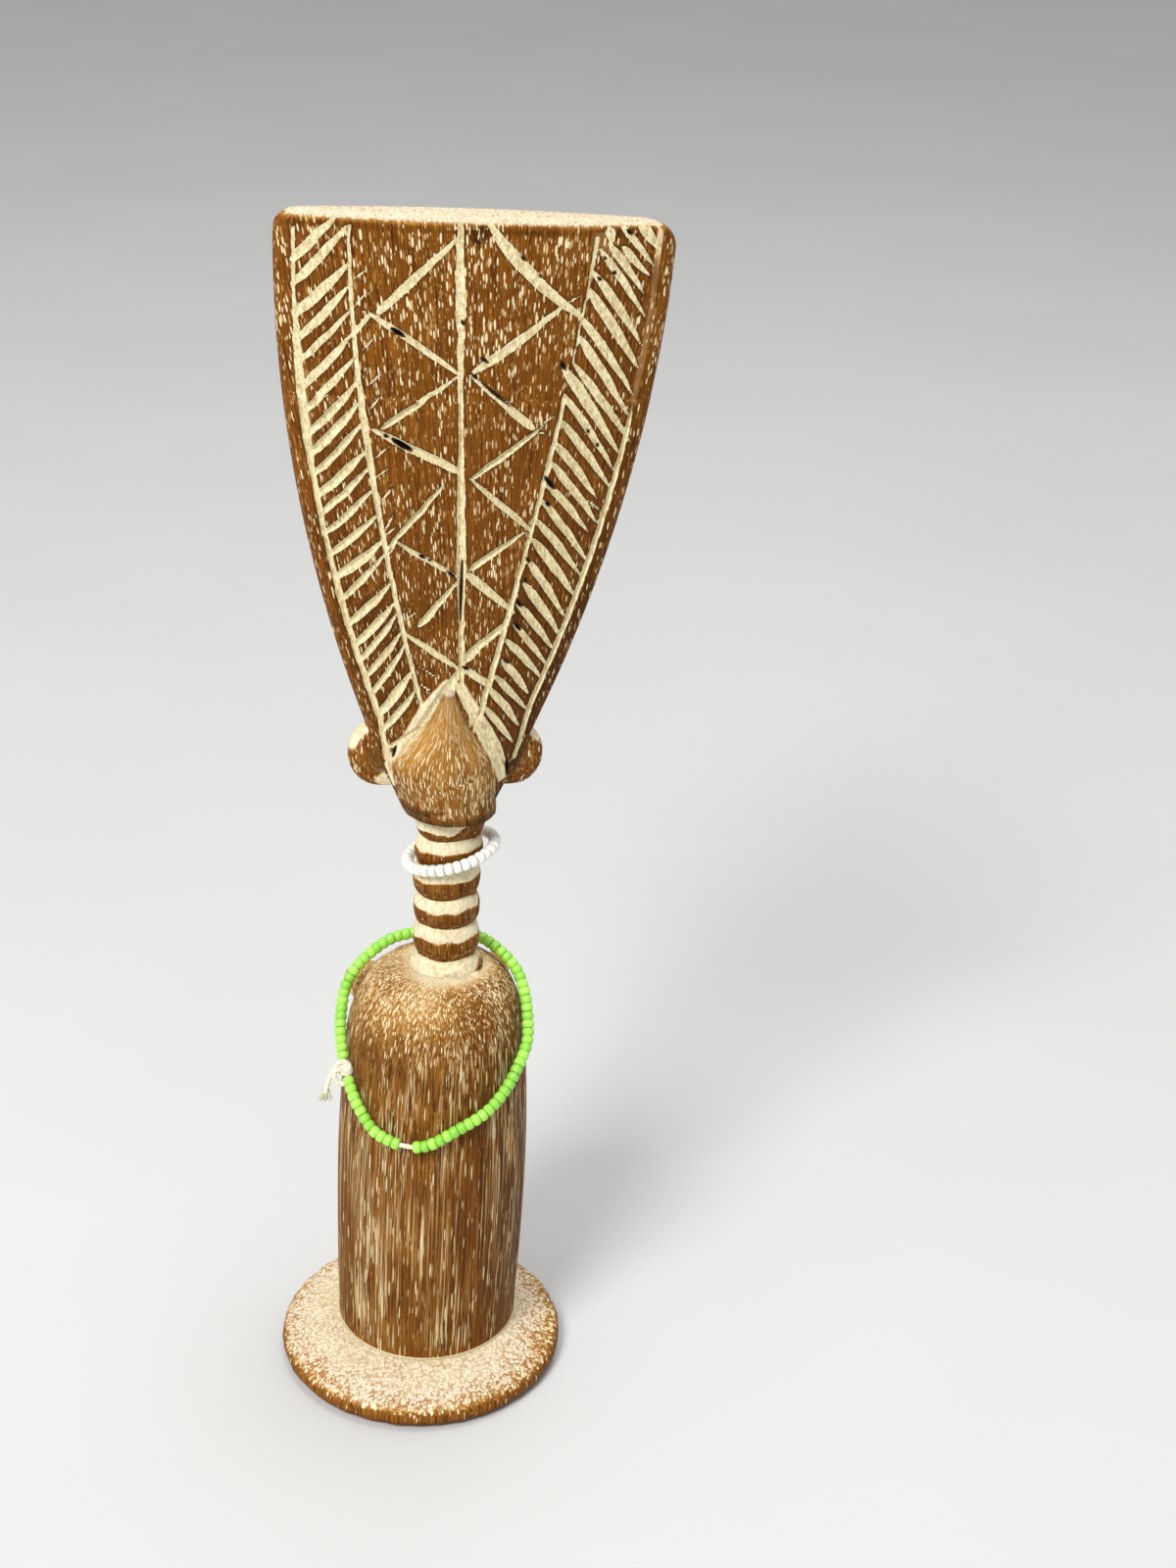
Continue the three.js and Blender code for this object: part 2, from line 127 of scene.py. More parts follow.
# What the surface shows, with its usual value: kaolin caught in the grain, a wash of kaolin over it,
# lighter or darker wood with painted shade, depth inside a cut and inside a hole in millimetres, long pale
# streaks
MARKS = {"chalk": 0.0, "wash": 0.0, "tone_and_shade": 0.0, "cut": NO_CUT, "hole": NO_CUT, "streak": 0.0}


class Part:
    """One closed carved form before the forms are joined: rings of points and what its surface shows."""

    def __init__(self, rings, **marks):
        self.rings = rings
        count, sides = rings.shape[:2]
        self.places = np.concatenate([rings.reshape(-1, 3), rings[:1].mean(1), rings[-1:].mean(1)])
        row, col = np.meshgrid(np.arange(count - 1), np.arange(sides), indexing="ij")
        a, b = row * sides + col, row * sides + (col + 1) % sides
        quads = np.stack([a, b, b + sides, a + sides], -1).reshape(-1, 4).tolist()
        turn = np.arange(sides)
        foot, head = count * sides, count * sides + 1
        last = (count - 1) * sides
        fans = [(foot, (i + 1) % sides, i) for i in turn.tolist()]
        fans += [(head, last + i, last + (i + 1) % sides) for i in turn.tolist()]
        self.faces = quads + fans
        corners = self.places[np.array([f[:3] for f in self.faces])]
        rest = self.places[np.array([[f[0], f[2], f[-1]] for f in quads])]
        volume = np.einsum("ij,ij->i", corners[:, 0], np.cross(corners[:, 1], corners[:, 2])).sum()
        volume += np.einsum("ij,ij->i", rest[:, 0], np.cross(rest[:, 1], rest[:, 2])).sum()
        if volume < 0:
            self.faces = [tuple(reversed(f)) for f in self.faces]
        self.marks = {}
        for name in MARKS:
            value = np.broadcast_to(marks.get(name, MARKS[name]), (count, sides))
            self.marks[name] = np.concatenate([value.ravel(), value[0, :1], value[-1, :1]])
        grain = marks.get("grain", rings)
        self.marks["grain"] = np.concatenate([grain.reshape(-1, 3), grain[:1].mean(1), grain[-1:].mean(1)])

    def as_object(self, name):
        mesh = bpy.data.meshes.new(name)
        mesh.from_pydata((self.places * MM).tolist(), [], self.faces)
        return put(name, mesh)


def body_axis(z):
    """The body leans a little to the right."""
    return 1.6 + 4.3 / 152 * (z - 8)


def body_radius(z):
    rise = np.clip((z - SHOULDER_Z) / (SHOULDER_TOP_Z - SHOULDER_Z), 0, 1)
    low = BODY_RADIUS - ((z - WIDEST_Z) / 44) ** 2
    high = BODY_RADIUS - ((z - WIDEST_Z) / 30) ** 2
    full = BODY_RADIUS - ((SHOULDER_Z - WIDEST_Z) / 30) ** 2
    dome = DOME_TOP_RADIUS + (full - DOME_TOP_RADIUS) * (1 - rise**1.76) ** (1 / 3.4)
    return np.where(z < WIDEST_Z, low, np.where(z < SHOULDER_Z, high, dome))


# Outline of the foot and body as rings: middle x and y, radius, height
half_edge = FOOT_EDGE / 2
profile = [(0, 0, FOOT_RADIUS - half_edge - 0.3, 0)]
for a in np.radians(np.linspace(-88, 62, 20)):
    profile.append((0, 0, FOOT_RADIUS - half_edge * (1 - math.cos(a)), half_edge + half_edge * math.sin(a)))
profile += through([(0, 0, 0, 34.4, 6.03), (0.3, 0.3, 0.35, 32.6, 6.85), (0.55, 0.6, 0.7, 30.2, 7.7),
                    (0.85, 1.3, 1.45, 25.8, 9.15), (0.97, 1.6, 1.5, 23.7, 9.75), (1, 1.65, 1.5, 22.9, 9.7)],
                   np.linspace(0.06, 1, 15)).tolist()
dome_heights = SHOULDER_Z + (SHOULDER_TOP_Z - SHOULDER_Z) * np.sin(np.linspace(0, math.pi / 2, 26))
heights = np.concatenate([[10.3, 10.9], np.arange(12.0, SHOULDER_Z, 1.75), dome_heights])
profile += [(body_axis(z), DOLL_Y, body_radius(z), z) for z in heights]
profile = np.array(profile)
turn = np.linspace(0, 2 * math.pi, 168, endpoint=False)
cx, cy, radius, level = (profile[:, i, None] for i in range(4))
ring_x, ring_y = np.cos(turn)[None], np.sin(turn)[None]
on_body = level > 10.0
flutes = sheet(ring_x * 24, ring_y * 24, level / 22)
whittled = 0.17 * waves(flutes, 4.2, 3) + 0.20 * waves(flutes, 13, 4)
radius = radius + on_body * ramp(level, 10, 16) * whittled
dents = waves(sheet(ring_x * radius, ring_y * radius, level), 5.5, 5)
radius = radius + (~on_body & (level > 0.1)) * 0.13 * dents
rings = sheet(cx + radius * ring_x, cy + radius * ring_y, level)
x, y, z = rings[..., 0], rings[..., 1], rings[..., 2]
# Kaolin lies thick on the foot's top and thins towards its edge, and the body is barer; towards the right the
# foot and body are painted barer and darker as shade
uneven = waves(rings, 16, 6) * 0.5 + waves(rings, 7, 7) * 0.3
across_view = x * 0.95 - y * 0.1
on_top = ramp(z, 4.0, 5.9) * (1 - on_body)
shaded_right = ramp(across_view, 2, 34)
outward = ramp(np.hypot(x, y), 27.0, 35.2)
foot_wash = on_top * (0.68 - 0.22 * shaded_right - 0.44 * outward + 0.12 * uneven)
foot_chalk = 0.74 - 0.16 * shaded_right + 0.08 * uneven - 0.26 * outward
# Painted shade: fewer flecks down the foot's side, fewest near the floor
foot_chalk = foot_chalk - (1 - on_top) * (0.52 + 0.30 * (1 - ramp(z, 0.8, 4.0)))
joint = (1 - ramp(np.hypot(x - 1.65, y - DOLL_Y) - 22.8, 0.2, 0.8)) * (z > 9) * (1 - ramp(z, 10.2, 10.8))
smear = bell((x - 17) / 8, (y + 15) / 14, (z - 34) / 20)
smear_left = bell((x + 16) / 9, (y + 12) / 12, (z - 18) / 9)
# Painted shade: the body's flecks thin towards its right
body_chalk = 0.20 * smear - 0.10 - 0.10 * ramp(across_view, 6, 20) + 0.08 * smear_left + 0.05 * uneven
body_wash = 0.22 * smear * (0.6 + 0.4 * uneven)
dome_rise = ramp(z, 93, 111)
neck_gap = np.hypot(x - 6.3, y - DOLL_Y)
front_brown = bell((x - 9) / 5, (y + 15) / 5)
front_left = bell((x + 2) / 9, (y + 12) / 9)
body_chalk = body_chalk + dome_rise * (0.47 - 0.26 * front_brown)
body_wash = body_wash + dome_rise * (0.12 + 0.20 * front_left - 0.20 * front_brown + 0.12 * uneven)
body_wash = body_wash + 0.55 * (1 - ramp(neck_gap, 9.0, 14.5)) * ramp(z, 104, 109)
# The grain follows the surface up the body, so the flecks run up it and over the dome
climb = np.hypot(np.diff(profile[:, 2], prepend=0), np.diff(profile[:, 3], prepend=0))
climb = np.cumsum(climb * (0.30 + 0.35 * ramp(profile[:, 3], 94, 110)))[:, None]
reach = 9 + 0.6 * radius
body_grain = sheet(ring_x * reach, ring_y * reach, climb)
foot_and_body = Part(
    rings,
    chalk=np.where(on_body, body_chalk, foot_chalk),
    wash=np.clip(np.where(on_body, body_wash, foot_wash) + 0.9 * joint, 0, 1),
    # Painted shade: the body darkens towards its right, and the foot's top a little towards its right
    tone_and_shade=np.where(on_body, 0.24 + 0.20 * uneven - 0.75 * ramp(across_view, 2, 22) + 0.3 * dome_rise,
                  # Painted shade: the foot's side darkens down to the floor
                  0.62 - 0.15 * shaded_right - (1 - on_top) * (0.40 + 0.7 * (1 - ramp(z, 0.3, 3.2)))),
    streak=np.where(on_body, (1 - 0.7 * dome_rise) * ramp(z, 10, 14), 0.0),
    grain=np.where(on_body[..., None], body_grain * 1.25, rings * (0.68, 0.68, 0.54)),
)

# The carved doll: breasts and neck
# Two small pointed breasts stand high on the face side. The neck is five stacked rings, each flared
# and then cut back under, and pale kaolin has stayed on their upward faces.
NECK_RING_TOPS = [155.3, 148.6, 141.0, 133.1, 125.3, 116.4]
NECK_TOP_Z = 164
NECK_FOOT_Z = 109
NECK_SCALE = 0.875
NECK_HALF_WIDTH = 8.1
NECK_HALF_DEPTH = 7.0

breasts = []
breast_root = np.array([body_axis(98), DOLL_Y, 98])
for side in (-1, 1):
    facing = math.radians(44) * side
    out = Vector((math.sin(facing), math.cos(facing), 0.08)).normalized()
    across = Vector((math.cos(facing), -math.sin(facing), 0))
    upward = across.cross(out)
    line = through([(0, 13, 7.3), (0.3, 20, 6.2), (0.6, 24.6, 4.4), (0.82, 27.2, 2.7), (1, 28.6, 0.7)],
                   np.linspace(0, 1, 20))
    angle = np.linspace(0, 2 * math.pi, 36, endpoint=False)
    ring = np.cos(angle)[:, None] * np.array(across) + np.sin(angle)[:, None] * np.array(upward)
    rings = breast_root + line[:, 0][:, None, None] * np.array(out) + line[:, 1][:, None, None] * ring
    breasts.append(Part(rings, chalk=0.16, wash=0.45 * ramp(ring[..., 2], 0.2, 1), tone_and_shade=0.75, streak=0.3))

neck_rings = list(zip(NECK_RING_TOPS, NECK_RING_TOPS[1:]))
neck_steps = [np.linspace(NECK_TOP_Z, 155.6, 6)]
neck_steps += [top + (low - top) * np.linspace(0, 1, 15, endpoint=False) for top, low in neck_rings]
neck_steps = np.concatenate(neck_steps + [np.linspace(NECK_RING_TOPS[-1], NECK_FOOT_Z, 8)])
# One ring from its top edge down: share of its height, width, and how pale it is
RING_SHAPE = [(0, 0.83, 0.8), (0.05, 0.90, 1.0), (0.15, 0.945, 1.0), (0.32, 0.99, 0.75),
              (0.43, 1.005, 0.2), (0.58, 0.998, -0.1), (0.75, 0.965, -0.2), (0.88, 0.915, -0.2),
              (0.97, 0.855, 0.0), (1, 0.83, 0.5)]
scale = np.full(len(neck_steps), NECK_SCALE)
neck_chalk = np.full(len(neck_steps), 0.85)
neck_ring_shade = np.zeros(len(neck_steps))
for top, low in neck_rings:
    here = (neck_steps <= top) & (neck_steps > low)
    fraction = (top - neck_steps[here]) / (top - low)
    shape = through(RING_SHAPE, fraction)
    scale[here], neck_chalk[here] = shape[:, 0], shape[:, 1]
    # Painted shade: each ring darkens over its lower half, most in the undercut below its bulge
    neck_ring_shade[here] = 0.05 - 0.40 * ramp(fraction, 0.45, 0.7) - 0.8 * ramp(fraction, 0.86, 0.97)
below = neck_steps <= NECK_RING_TOPS[-1]
scale[below] = np.interp(neck_steps[below], [NECK_FOOT_Z, 114.8, NECK_RING_TOPS[-1]],
                         [1.2, 1.06, NECK_SCALE])
neck_chalk[below] = np.interp(neck_steps[below], [NECK_FOOT_Z, 112, 115], [0.5, 0.6, 0.95])
angle = np.linspace(0, 2 * math.pi, 60, endpoint=False)
level = neck_steps[:, None]
neck_x = 6.3 + 0.055 * np.maximum(0, level - 137)
around = sheet(np.cos(angle) * 8, np.sin(angle) * 8, level / 2.2)
whittled = 1 + 0.012 * waves(around, 7, 11) + 0.008 * waves(around, 3, 12)
rings = sheet(neck_x + NECK_HALF_WIDTH * scale[:, None] * whittled * np.cos(angle),
              DOLL_Y + NECK_HALF_DEPTH * scale[:, None] * whittled * np.sin(angle),
              level + 0.28 * waves(around, 9, 13))
# The kaolin is painted thinner at the right as shade, and on the top ring only a crescent of it is left
kaolin_kept = neck_chalk[:, None] - 0.38 * ramp(np.cos(angle), 0.45, 0.95) + 0.18 * waves(around, 5, 14)
crescent = 151.0 + 2.4 * ramp(np.cos(angle), -0.2, 0.7) + 0.4 * waves(around, 5, 15)
kaolin_kept = ramp(np.where(level > 149.2, ramp(level, crescent - 0.5, crescent + 0.5), kaolin_kept), 0.2, 0.75)
neck = Part(rings, chalk=0.4 * kaolin_kept - 0.24, wash=0.86 * kaolin_kept, tone_and_shade=neck_ring_shade[:, None] * (1 - kaolin_kept),
            streak=0.4)

# The carved doll: head panel
# A tall tapering panel, thickest along its middle, that leans a little to the right. Its back was
# cut with a knife: a crooked centre line, zigzags, and a herringbone band down each edge.
HEAD_LEAN = math.radians(2.7)
HEAD_TOP = 134.2
HEAD_HALF_WIDTH = 43.2
HEAD_FOOT_X = 6.2
HEAD_FOOT_Z = 160
FLAT_SHARE = 0.955
BACK_COLUMNS = 170
EDGE_COLUMNS = 7
FACE_COLUMNS = 66


def head_point(s, y, t):
    """Place of a point of the head: s across, y through its thickness, t up its own leaning axis."""
    c, n = math.cos(HEAD_LEAN), math.sin(HEAD_LEAN)
    return sheet(HEAD_FOOT_X + s * c + t * n, DOLL_Y + y, HEAD_FOOT_Z - s * n + t * c)


def outline(t):
    """Half the panel's width at a height."""
    return HEAD_HALF_WIDTH * (1 - ((136 - t) / 161) ** 2)


def side_reach(t, corner):
    """The same with the top corner rounded."""
    over = np.clip(t - (HEAD_TOP - corner), 0, corner)
    return outline(t) - corner + np.sqrt(corner**2 - over**2)


def back_y(s, t):
    return -7.0 + 4.5 * (s / outline(t)) ** 2


def front_y(s, t):
    return 8.0 - 4.3 * (s / outline(t)) ** 2


def inner_left(t):
    return -27.9 + 20 * ((132 - np.minimum(t, 131.9)) / 108) ** 1.55


def inner_right(t):
    return 24.6 - 19.3 * (np.maximum(0.01, 132 - t) / 111) ** 1.25


def centre_line(t):
    return -5.0 + (133 - t) * 0.056


def border_inset(t, side):
    return np.minimum(3.9 if side < 0 else 4.5, 1.4 + (t - 8) * 0.2)


class Carving:
    """Depth of the knife cuts over a sheet of points, and how far inside a cut each point is."""

    def __init__(self, s, t, shake=1.0):
        place = sheet(s, t)
        self.s = s + shake * (0.09 * waves(place, 7, 21) + 0.025 * waves(place, 1.8, 22))
        self.t = t + shake * (0.09 * waves(place, 7, 23) + 0.025 * waves(place, 1.8, 24))
        self.inside = np.full(s.shape, NO_CUT)
        self.depth = np.zeros(s.shape)

    def keep(self, inside, width, deep):
        """Adds a cut with sloping walls, deepest halfway across."""
        self.inside = np.maximum(self.inside, inside)
        wall = np.clip(inside / (0.46 * width), 0, 1)
        self.depth = np.maximum(self.depth, deep * wall * (1.5 - 0.5 * wall))

    def stroke(self, a, b, width, deep, taper=(0.35, 0.35), blunt=(0.0, 0.0), bow=0.0):
        """A cut from a to b. Each end narrows over its share of the length, down to its blunt share."""
        run = np.array([b[0] - a[0], b[1] - a[1]])
        length = math.hypot(*run)
        run /= length
        along = ((self.s - a[0]) * run[0] + (self.t - a[1]) * run[1]) / length
        f = np.clip(along, 0, 1)
        aside = -(self.s - a[0]) * run[1] + (self.t - a[1]) * run[0] - bow * 4 * f * (1 - f)
        start = blunt[0] + (1 - blunt[0]) * np.minimum(1, f / taper[0]) ** 0.62
        end = blunt[1] + (1 - blunt[1]) * np.minimum(1, (1 - f) / taper[1]) ** 0.62
        half = width / 2 * np.minimum(start, end)
        inside = np.minimum(half - np.abs(aside), np.minimum(along, 1 - along) * length + 0.15)
        self.keep(inside, width, deep)

    def line(self, centre, heights, widths, deep, low, high):
        """A long cut up the panel, as wide at each of the heights as widths says."""
        slope = np.gradient(centre(self.t), axis=0) / np.gradient(self.t, axis=0)
        aside = np.abs(self.s - centre(self.t)) / np.sqrt(1 + slope**2)
        wide = np.interp(self.t, heights, widths)
        inside = np.minimum(wide / 2 - aside, np.minimum(self.t - low, high - self.t))
        self.keep(inside, wide, deep)


TOP_ROWS = [133.4, 133.7, 133.95, 134.12]
rows = np.concatenate([np.arange(-4, 130.6, 0.5), np.arange(130.8, 133.2, 0.4), TOP_ROWS])
inset = np.interp(rows, [133.2, *TOP_ROWS], [0, 0.03, 0.13, 0.33, 0.6])
level = rows[:, None]
left = side_reach(level, 4.0) - inset[:, None]
right = side_reach(level, 5.5) - inset[:, None]


def spread(u):
    """Distance across for shares of the half width, -1 at the left edge and 1 at the right."""
    return np.where(u < 0, u * left, u * right)


s_back = spread(np.linspace(-FLAT_SHARE, FLAT_SHARE, BACK_COLUMNS)[None])
carving = Carving(s_back, level)
carving.line(lambda t: border_inset(t, -1) - outline(t), [10, 50, 62, 80, 88, 104, 110, 118, 130],
             [1.3, 1.4, 1.15, 1.4, 1.9, 1.8, 1.3, 0.8, 0.8], 0.7, 9, 131.6)
carving.line(lambda t: outline(t) - border_inset(t, 1), [10, 20, 70, 91, 97, 133],
             [1.1, 1.4, 1.45, 1.2, -0.3, -0.3], 0.7, 9, 131.0)
carving.line(inner_left, [24, 50, 65, 81, 90, 98, 108, 132],
             [1.0, 1.1, 1.1, 1.4, 1.7, 1.3, 0.95, 0.75], 0.6, 24, 132.6)
carving.line(inner_right, [21, 46, 64, 72, 82, 90, 97, 98.5, 103, 104.5, 112, 122, 130],
             [1.5, 1.4, 1.05, 1.0, 1.3, 1.0, 0.9, -0.4, -0.4, 0.5, 0.5, 0.6, 1.0], 0.6, 21, 131.8)
carving.line(centre_line, [28, 38, 44, 60, 74, 80, 86, 98, 110, 115, 122, 130, 134],
             [0.9, 1.5, 1.3, 2.2, 1.9, 1.6, 1.2, 1.2, 1.4, 2.2, 2.1, 1.5, 1.2], 0.9, 29.5, 140)
# Zigzags: both ends, width, and the shares over which each end narrows
ZIGZAG = [
    (-5.0, 131.2, -21.4, 114.3, 1.9, 0.5, 0.1), (-23.7, 114.4, -3.2, 101.3, 1.4, 0.2, 0.3),
    (-3.4, 101.5, -19.8, 89.3, 1.5, 0.7, 0.12), (-21.8, 89.2, -2.2, 80.1, 1.9, 0.3, 0.1),
    (-5.8, 77.0, -17.4, 61.9, 1.5, 0.4, 0.5), (-16.2, 64.2, -1.0, 55.4, 1.25, 0.3, 0.4),
    (-1.2, 55.0, -9.6, 43.8, 1.7, 0.7, 0.12), (-13.2, 42.4, 0.0, 33.7, 1.5, 0.4, 0.3),
    (0.5, 134.6, 22.2, 114.6, 3.0, 0.4, 0.7), (18.5, 117.3, -0.7, 102.2, 2.2, 0.6, 0.2),
    (-1.3, 101.7, 13.5, 89.9, 1.9, 0.85, 0.08), (15.6, 90.4, 0.1, 78.4, 1.5, 0.5, 0.3),
    (0.3, 78.4, 14.9, 66.2, 1.5, 0.4, 0.35), (13.2, 66.3, 1.2, 57.6, 1.5, 0.5, 0.08),
    (0.4, 56.8, 11.8, 47.0, 2.0, 0.12, 0.6), (10.7, 44.6, 0.8, 36.4, 1.75, 0.15, 0.2),
    (4.6, 38.7, 1.2, 35.3, 1.7, 0.6, 0.3), (0.8, 33.9, 7.7, 29.1, 1.8, 0.2, 0.2),
]
BOWED = {8: -1.3, 9: 0.5, 1: 0.35}
for i, (s0, t0, s1, t1, wide, *taper) in enumerate(ZIGZAG):
    carving.stroke((s0, t0), (s1, t1), wide, 0.85, taper, (0.2, 0.35), BOWED.get(i, 0.0))
# Herringbone down the left: heights of the lower and upper end of each cut, and its width
HERRINGBONE_LEFT = [
    (119.3, 132.3, 2.0), (112.7, 124.3, 2.3), (107.2, 119.7, 2.0), (102.4, 114.5, 1.5), (96.8, 109.5, 1.95),
    (91.8, 104.5, 1.75), (86.6, 99.1, 1.9), (82.3, 95.0, 2.15), (77.5, 90.5, 1.75), (73.0, 84.3, 2.15),
    (68.8, 80.5, 1.7), (64.3, 75.5, 1.65), (59.5, 69.8, 1.85), (54.1, 63.6, 2.35), (48.9, 60.7, 1.65),
    (43.0, 53.9, 2.05), (38.0, 49.3, 1.95), (34.1, 46.8, 1.65), (30.2, 42.3, 1.65), (25.9, 39.1, 1.55),
    (20.9, 32.7, 2.3), (16.8, 28.2, 1.75), (12.3, 20.0, 1.4),
]
for low, high, wide in HERRINGBONE_LEFT:
    start = (border_inset(low, -1) - outline(low) - 0.4, low)
    end = (float(inner_left(high)) - 0.5, high)
    carving.stroke(start, end, wide * 0.96, 0.75, (0.22, 0.40), (0.45, 0.15), -0.3)
carving.stroke((-39.5, 124.2), (-31.0, 133.9), 2.2, 0.75, (0.2, 0.5), (0.4, 0.3))
# The same down the right, steeper: both ends of each cut, and its width
HERRINGBONE_RIGHT = [
    (27.1, 130.3, 36.3, 119.2, 1.7), (25.4, 129.0, 37.3, 113.8, 1.5), (24.3, 124.3, 36.9, 107.8, 1.9),
    (23.4, 120.5, 36.6, 102.6, 2.3), (22.3, 114.5, 35.9, 96.8, 1.9), (22.0, 110.5, 35.4, 91.6, 1.9),
    (21.6, 104.1, 36.4, 85.7, 1.75), (19.1, 103.6, 33.7, 83.4, 2.3), (19.8, 97.3, 33.0, 79.5, 1.7),
    (19.5, 91.8, 32.3, 75.5, 1.8), (18.4, 86.8, 29.5, 73.0, 1.9), (17.7, 82.5, 30.5, 66.8, 1.8),
    (17.2, 77.5, 28.2, 65.0, 1.7), (16.5, 73.5, 28.6, 58.0, 1.8), (15.5, 69.1, 27.5, 54.3, 1.7),
    (15.0, 64.5, 26.4, 49.5, 2.1), (13.9, 59.8, 24.5, 44.5, 1.75), (13.6, 54.1, 23.4, 40.2, 2.0),
    (12.5, 49.3, 22.3, 36.6, 1.8), (12.0, 44.1, 21.1, 32.7, 1.5), (10.5, 40.5, 20.0, 29.5, 1.7),
    (9.8, 35.5, 17.0, 26.0, 1.9), (8.2, 31.8, 17.0, 21.8, 1.6), (7.3, 28.6, 15.5, 17.7, 1.8),
    (6.4, 24.0, 14.3, 13.4, 1.7), (5.5, 20.0, 13.0, 8.4, 1.9),
]
for s0, t0, s1, t1, wide in HERRINGBONE_RIGHT:
    carving.stroke((s0, t0), (s1, t1), wide * 1.06, 0.85, (0.2, 0.5), (0.3, 0.05), 0.3)
# Four short cuts in the top right corner
for s0, t0, s1, t1, wide in ((33.9, 134.6, 39.2, 128.6, 2.3), (29.7, 134.4, 38.2, 125.1, 1.6),
                             (30.5, 129.6, 37.4, 122.9, 1.6), (27.2, 133.6, 27.9, 130.2, 2.3)):
    carving.stroke((s0, t0), (s1, t1), wide, 0.7, (0.2, 0.6), (0.4, 0.1))
# Pale hollows beside the nape, and the cap of the same kind over its point
carving.stroke((0.4, 33.6), (-13.6, 5.6), 2.8, 0.7, (0.25, 0.1), (0.4, 0.8), -0.5)
carving.stroke((-0.6, 30.8), (-11.6, 8.0), 1.6, 0.5, (0.2, 0.2), (0.4, 0.5), -0.4)
carving.stroke((-0.8, 30.4), (12.4, 5.0), 2.0, 0.6, (0.25, 0.3), (0.5, 0.3), 0.5)
carving.stroke((5.4, 22.5), (12.8, 8.6), 1.5, 0.6, (0.3, 0.4), (0.3, 0.2), 0.3)
carving.stroke((-16.6, 16.8), (-12.9, 5.2), 1.6, 0.7, (0.3, 0.2), (0.4, 0.5))
rubbed = Carving(s_back, level)
rubbed.stroke((-1.5, 30.9), (-14.0, 3.0), 7.6, 1.0, (0.3, 0.1), (0.3, 0.9))
rubbed.stroke((0.5, 30.5), (12.8, 4.0), 3.4, 1.0, (0.3, 0.1), (0.3, 0.9))
# Slips of the knife beside the inner lines: one deeper, the rest fine scratches
carving.stroke((-26.1, 109.7), (-22.8, 114.3), 1.1, 0.5, (0.1, 0.3), (0.3, 0.5))
FINE_LINES = [
    (-26.3, 115.3, -24.0, 118.7), (-25.9, 109.9, -23.1, 113.6), (-27.0, 120.6, -23.8, 123.8),
    (-24.8, 105.6, -21.5, 109.5), (-23.9, 101.2, -23.0, 102.6), (-23.0, 98.2, -19.8, 101.8),
    (-22.5, 93.0, -20.2, 96.5), (-21.4, 82.0, -17.6, 85.8), (-20.6, 78.4, -17.7, 80.6),
    (-19.8, 71.9, -16.3, 76.8), (-18.0, 65.9, -16.2, 70.6), (-18.4, 64.6, -15.4, 67.4),
    (-17.0, 60.5, -15.2, 64.0), (-12.7, 45.0, -10.2, 47.4), (-9.4, 34.3, -4.1, 30.9),
    (-8.9, 29.8, -5.7, 28.0), (19.0, 117.3, 21.6, 119.1), (15.2, 90.7, 17.8, 93.1),
    (13.4, 89.7, 17.0, 88.2), (26.3, 73.7, 31.2, 69.9), (-24.8, 114.9, -23.4, 114.0),
]
for s0, t0, s1, t1 in FINE_LINES:
    carving.stroke((s0, t0), (s1, t1), 0.5, 0.1, (0.4, 0.4))
# Old slots and pits where the knife tore into a soft streak, deeper than the cuts around them
torn = Carving(s_back, level, 0.3)
SLOTS = [
    (-17.2, 87.0, -12.9, 84.7, 0.95), (-18.4, 111.2, -15.6, 109.6, 0.8), (-10.2, 60.8, -8.9, 60.1, 0.55),
    (-8.0, 59.7, -7.6, 59.4, 0.5), (-19.0, 87.9, -18.2, 87.5, 0.55), (18.7, 104.8, 19.7, 103.0, 0.7),
    (1.0, 34.1, 2.3, 33.2, 0.55), (16.9, 78.8, 19.3, 76.0, 0.8), (-3.8, 57.0, -1.9, 55.6, 0.4),
    (-0.55, 59.4, -0.25, 45.3, 0.32), (31.2, 133.2, 32.3, 132.2, 0.6), (8.3, 127.4, 9.3, 126.5, 0.5),
    (12.5, 123.4, 12.9, 123.1, 0.45), (25.6, 123.0, 26.2, 122.4, 0.6), (28.7, 124.3, 29.5, 123.7, 0.55),
    (26.4, 127.4, 26.9, 126.9, 0.5), (-3.5, 113.4, -3.1, 112.6, 0.6), (12.4, 50.0, 13.7, 48.2, 0.6),
    (12.2, 44.6, 13.8, 42.4, 0.55), (13.9, 60.1, 14.9, 58.8, 0.45), (13.9, 55.2, 14.4, 54.1, 0.55),
    (17.5, 73.2, 18.4, 72.0, 0.6), (25.8, 89.2, 26.3, 88.7, 0.5), (28.2, 86.1, 28.7, 85.5, 0.5),
    (31.6, 93.8, 32.5, 92.6, 0.4), (12.9, 9.6, 13.6, 4.8, 0.5), (1.0, 105.6, 2.6, 104.4, 0.5),
    (1.4, 100.1, 7.8, 95.0, 0.45), (-1.0, 102.0, 0.6, 100.7, 0.4),
    (10.4, 35.6, 11.6, 34.4, 0.4), (-13.2, 13.4, -13.7, 10.8, 0.35),
]
for s0, t0, s1, t1, wide in SLOTS:
    torn.stroke((s0, t0), (s1, t1), wide + 0.12, 1.0, (0.45, 0.45), (0.3, 0.3))
depth = carving.depth + 0.8 * ramp(torn.inside, -0.05, 0.35)
fade = ramp(HEAD_TOP - level, 0.0, 0.3)
ridge = 0.05 * waves(sheet(s_back, level / 6), 3, 25)
y_back = back_y(s_back, level) + inset[:, None] + depth * (0.35 + 0.65 * fade) + ridge

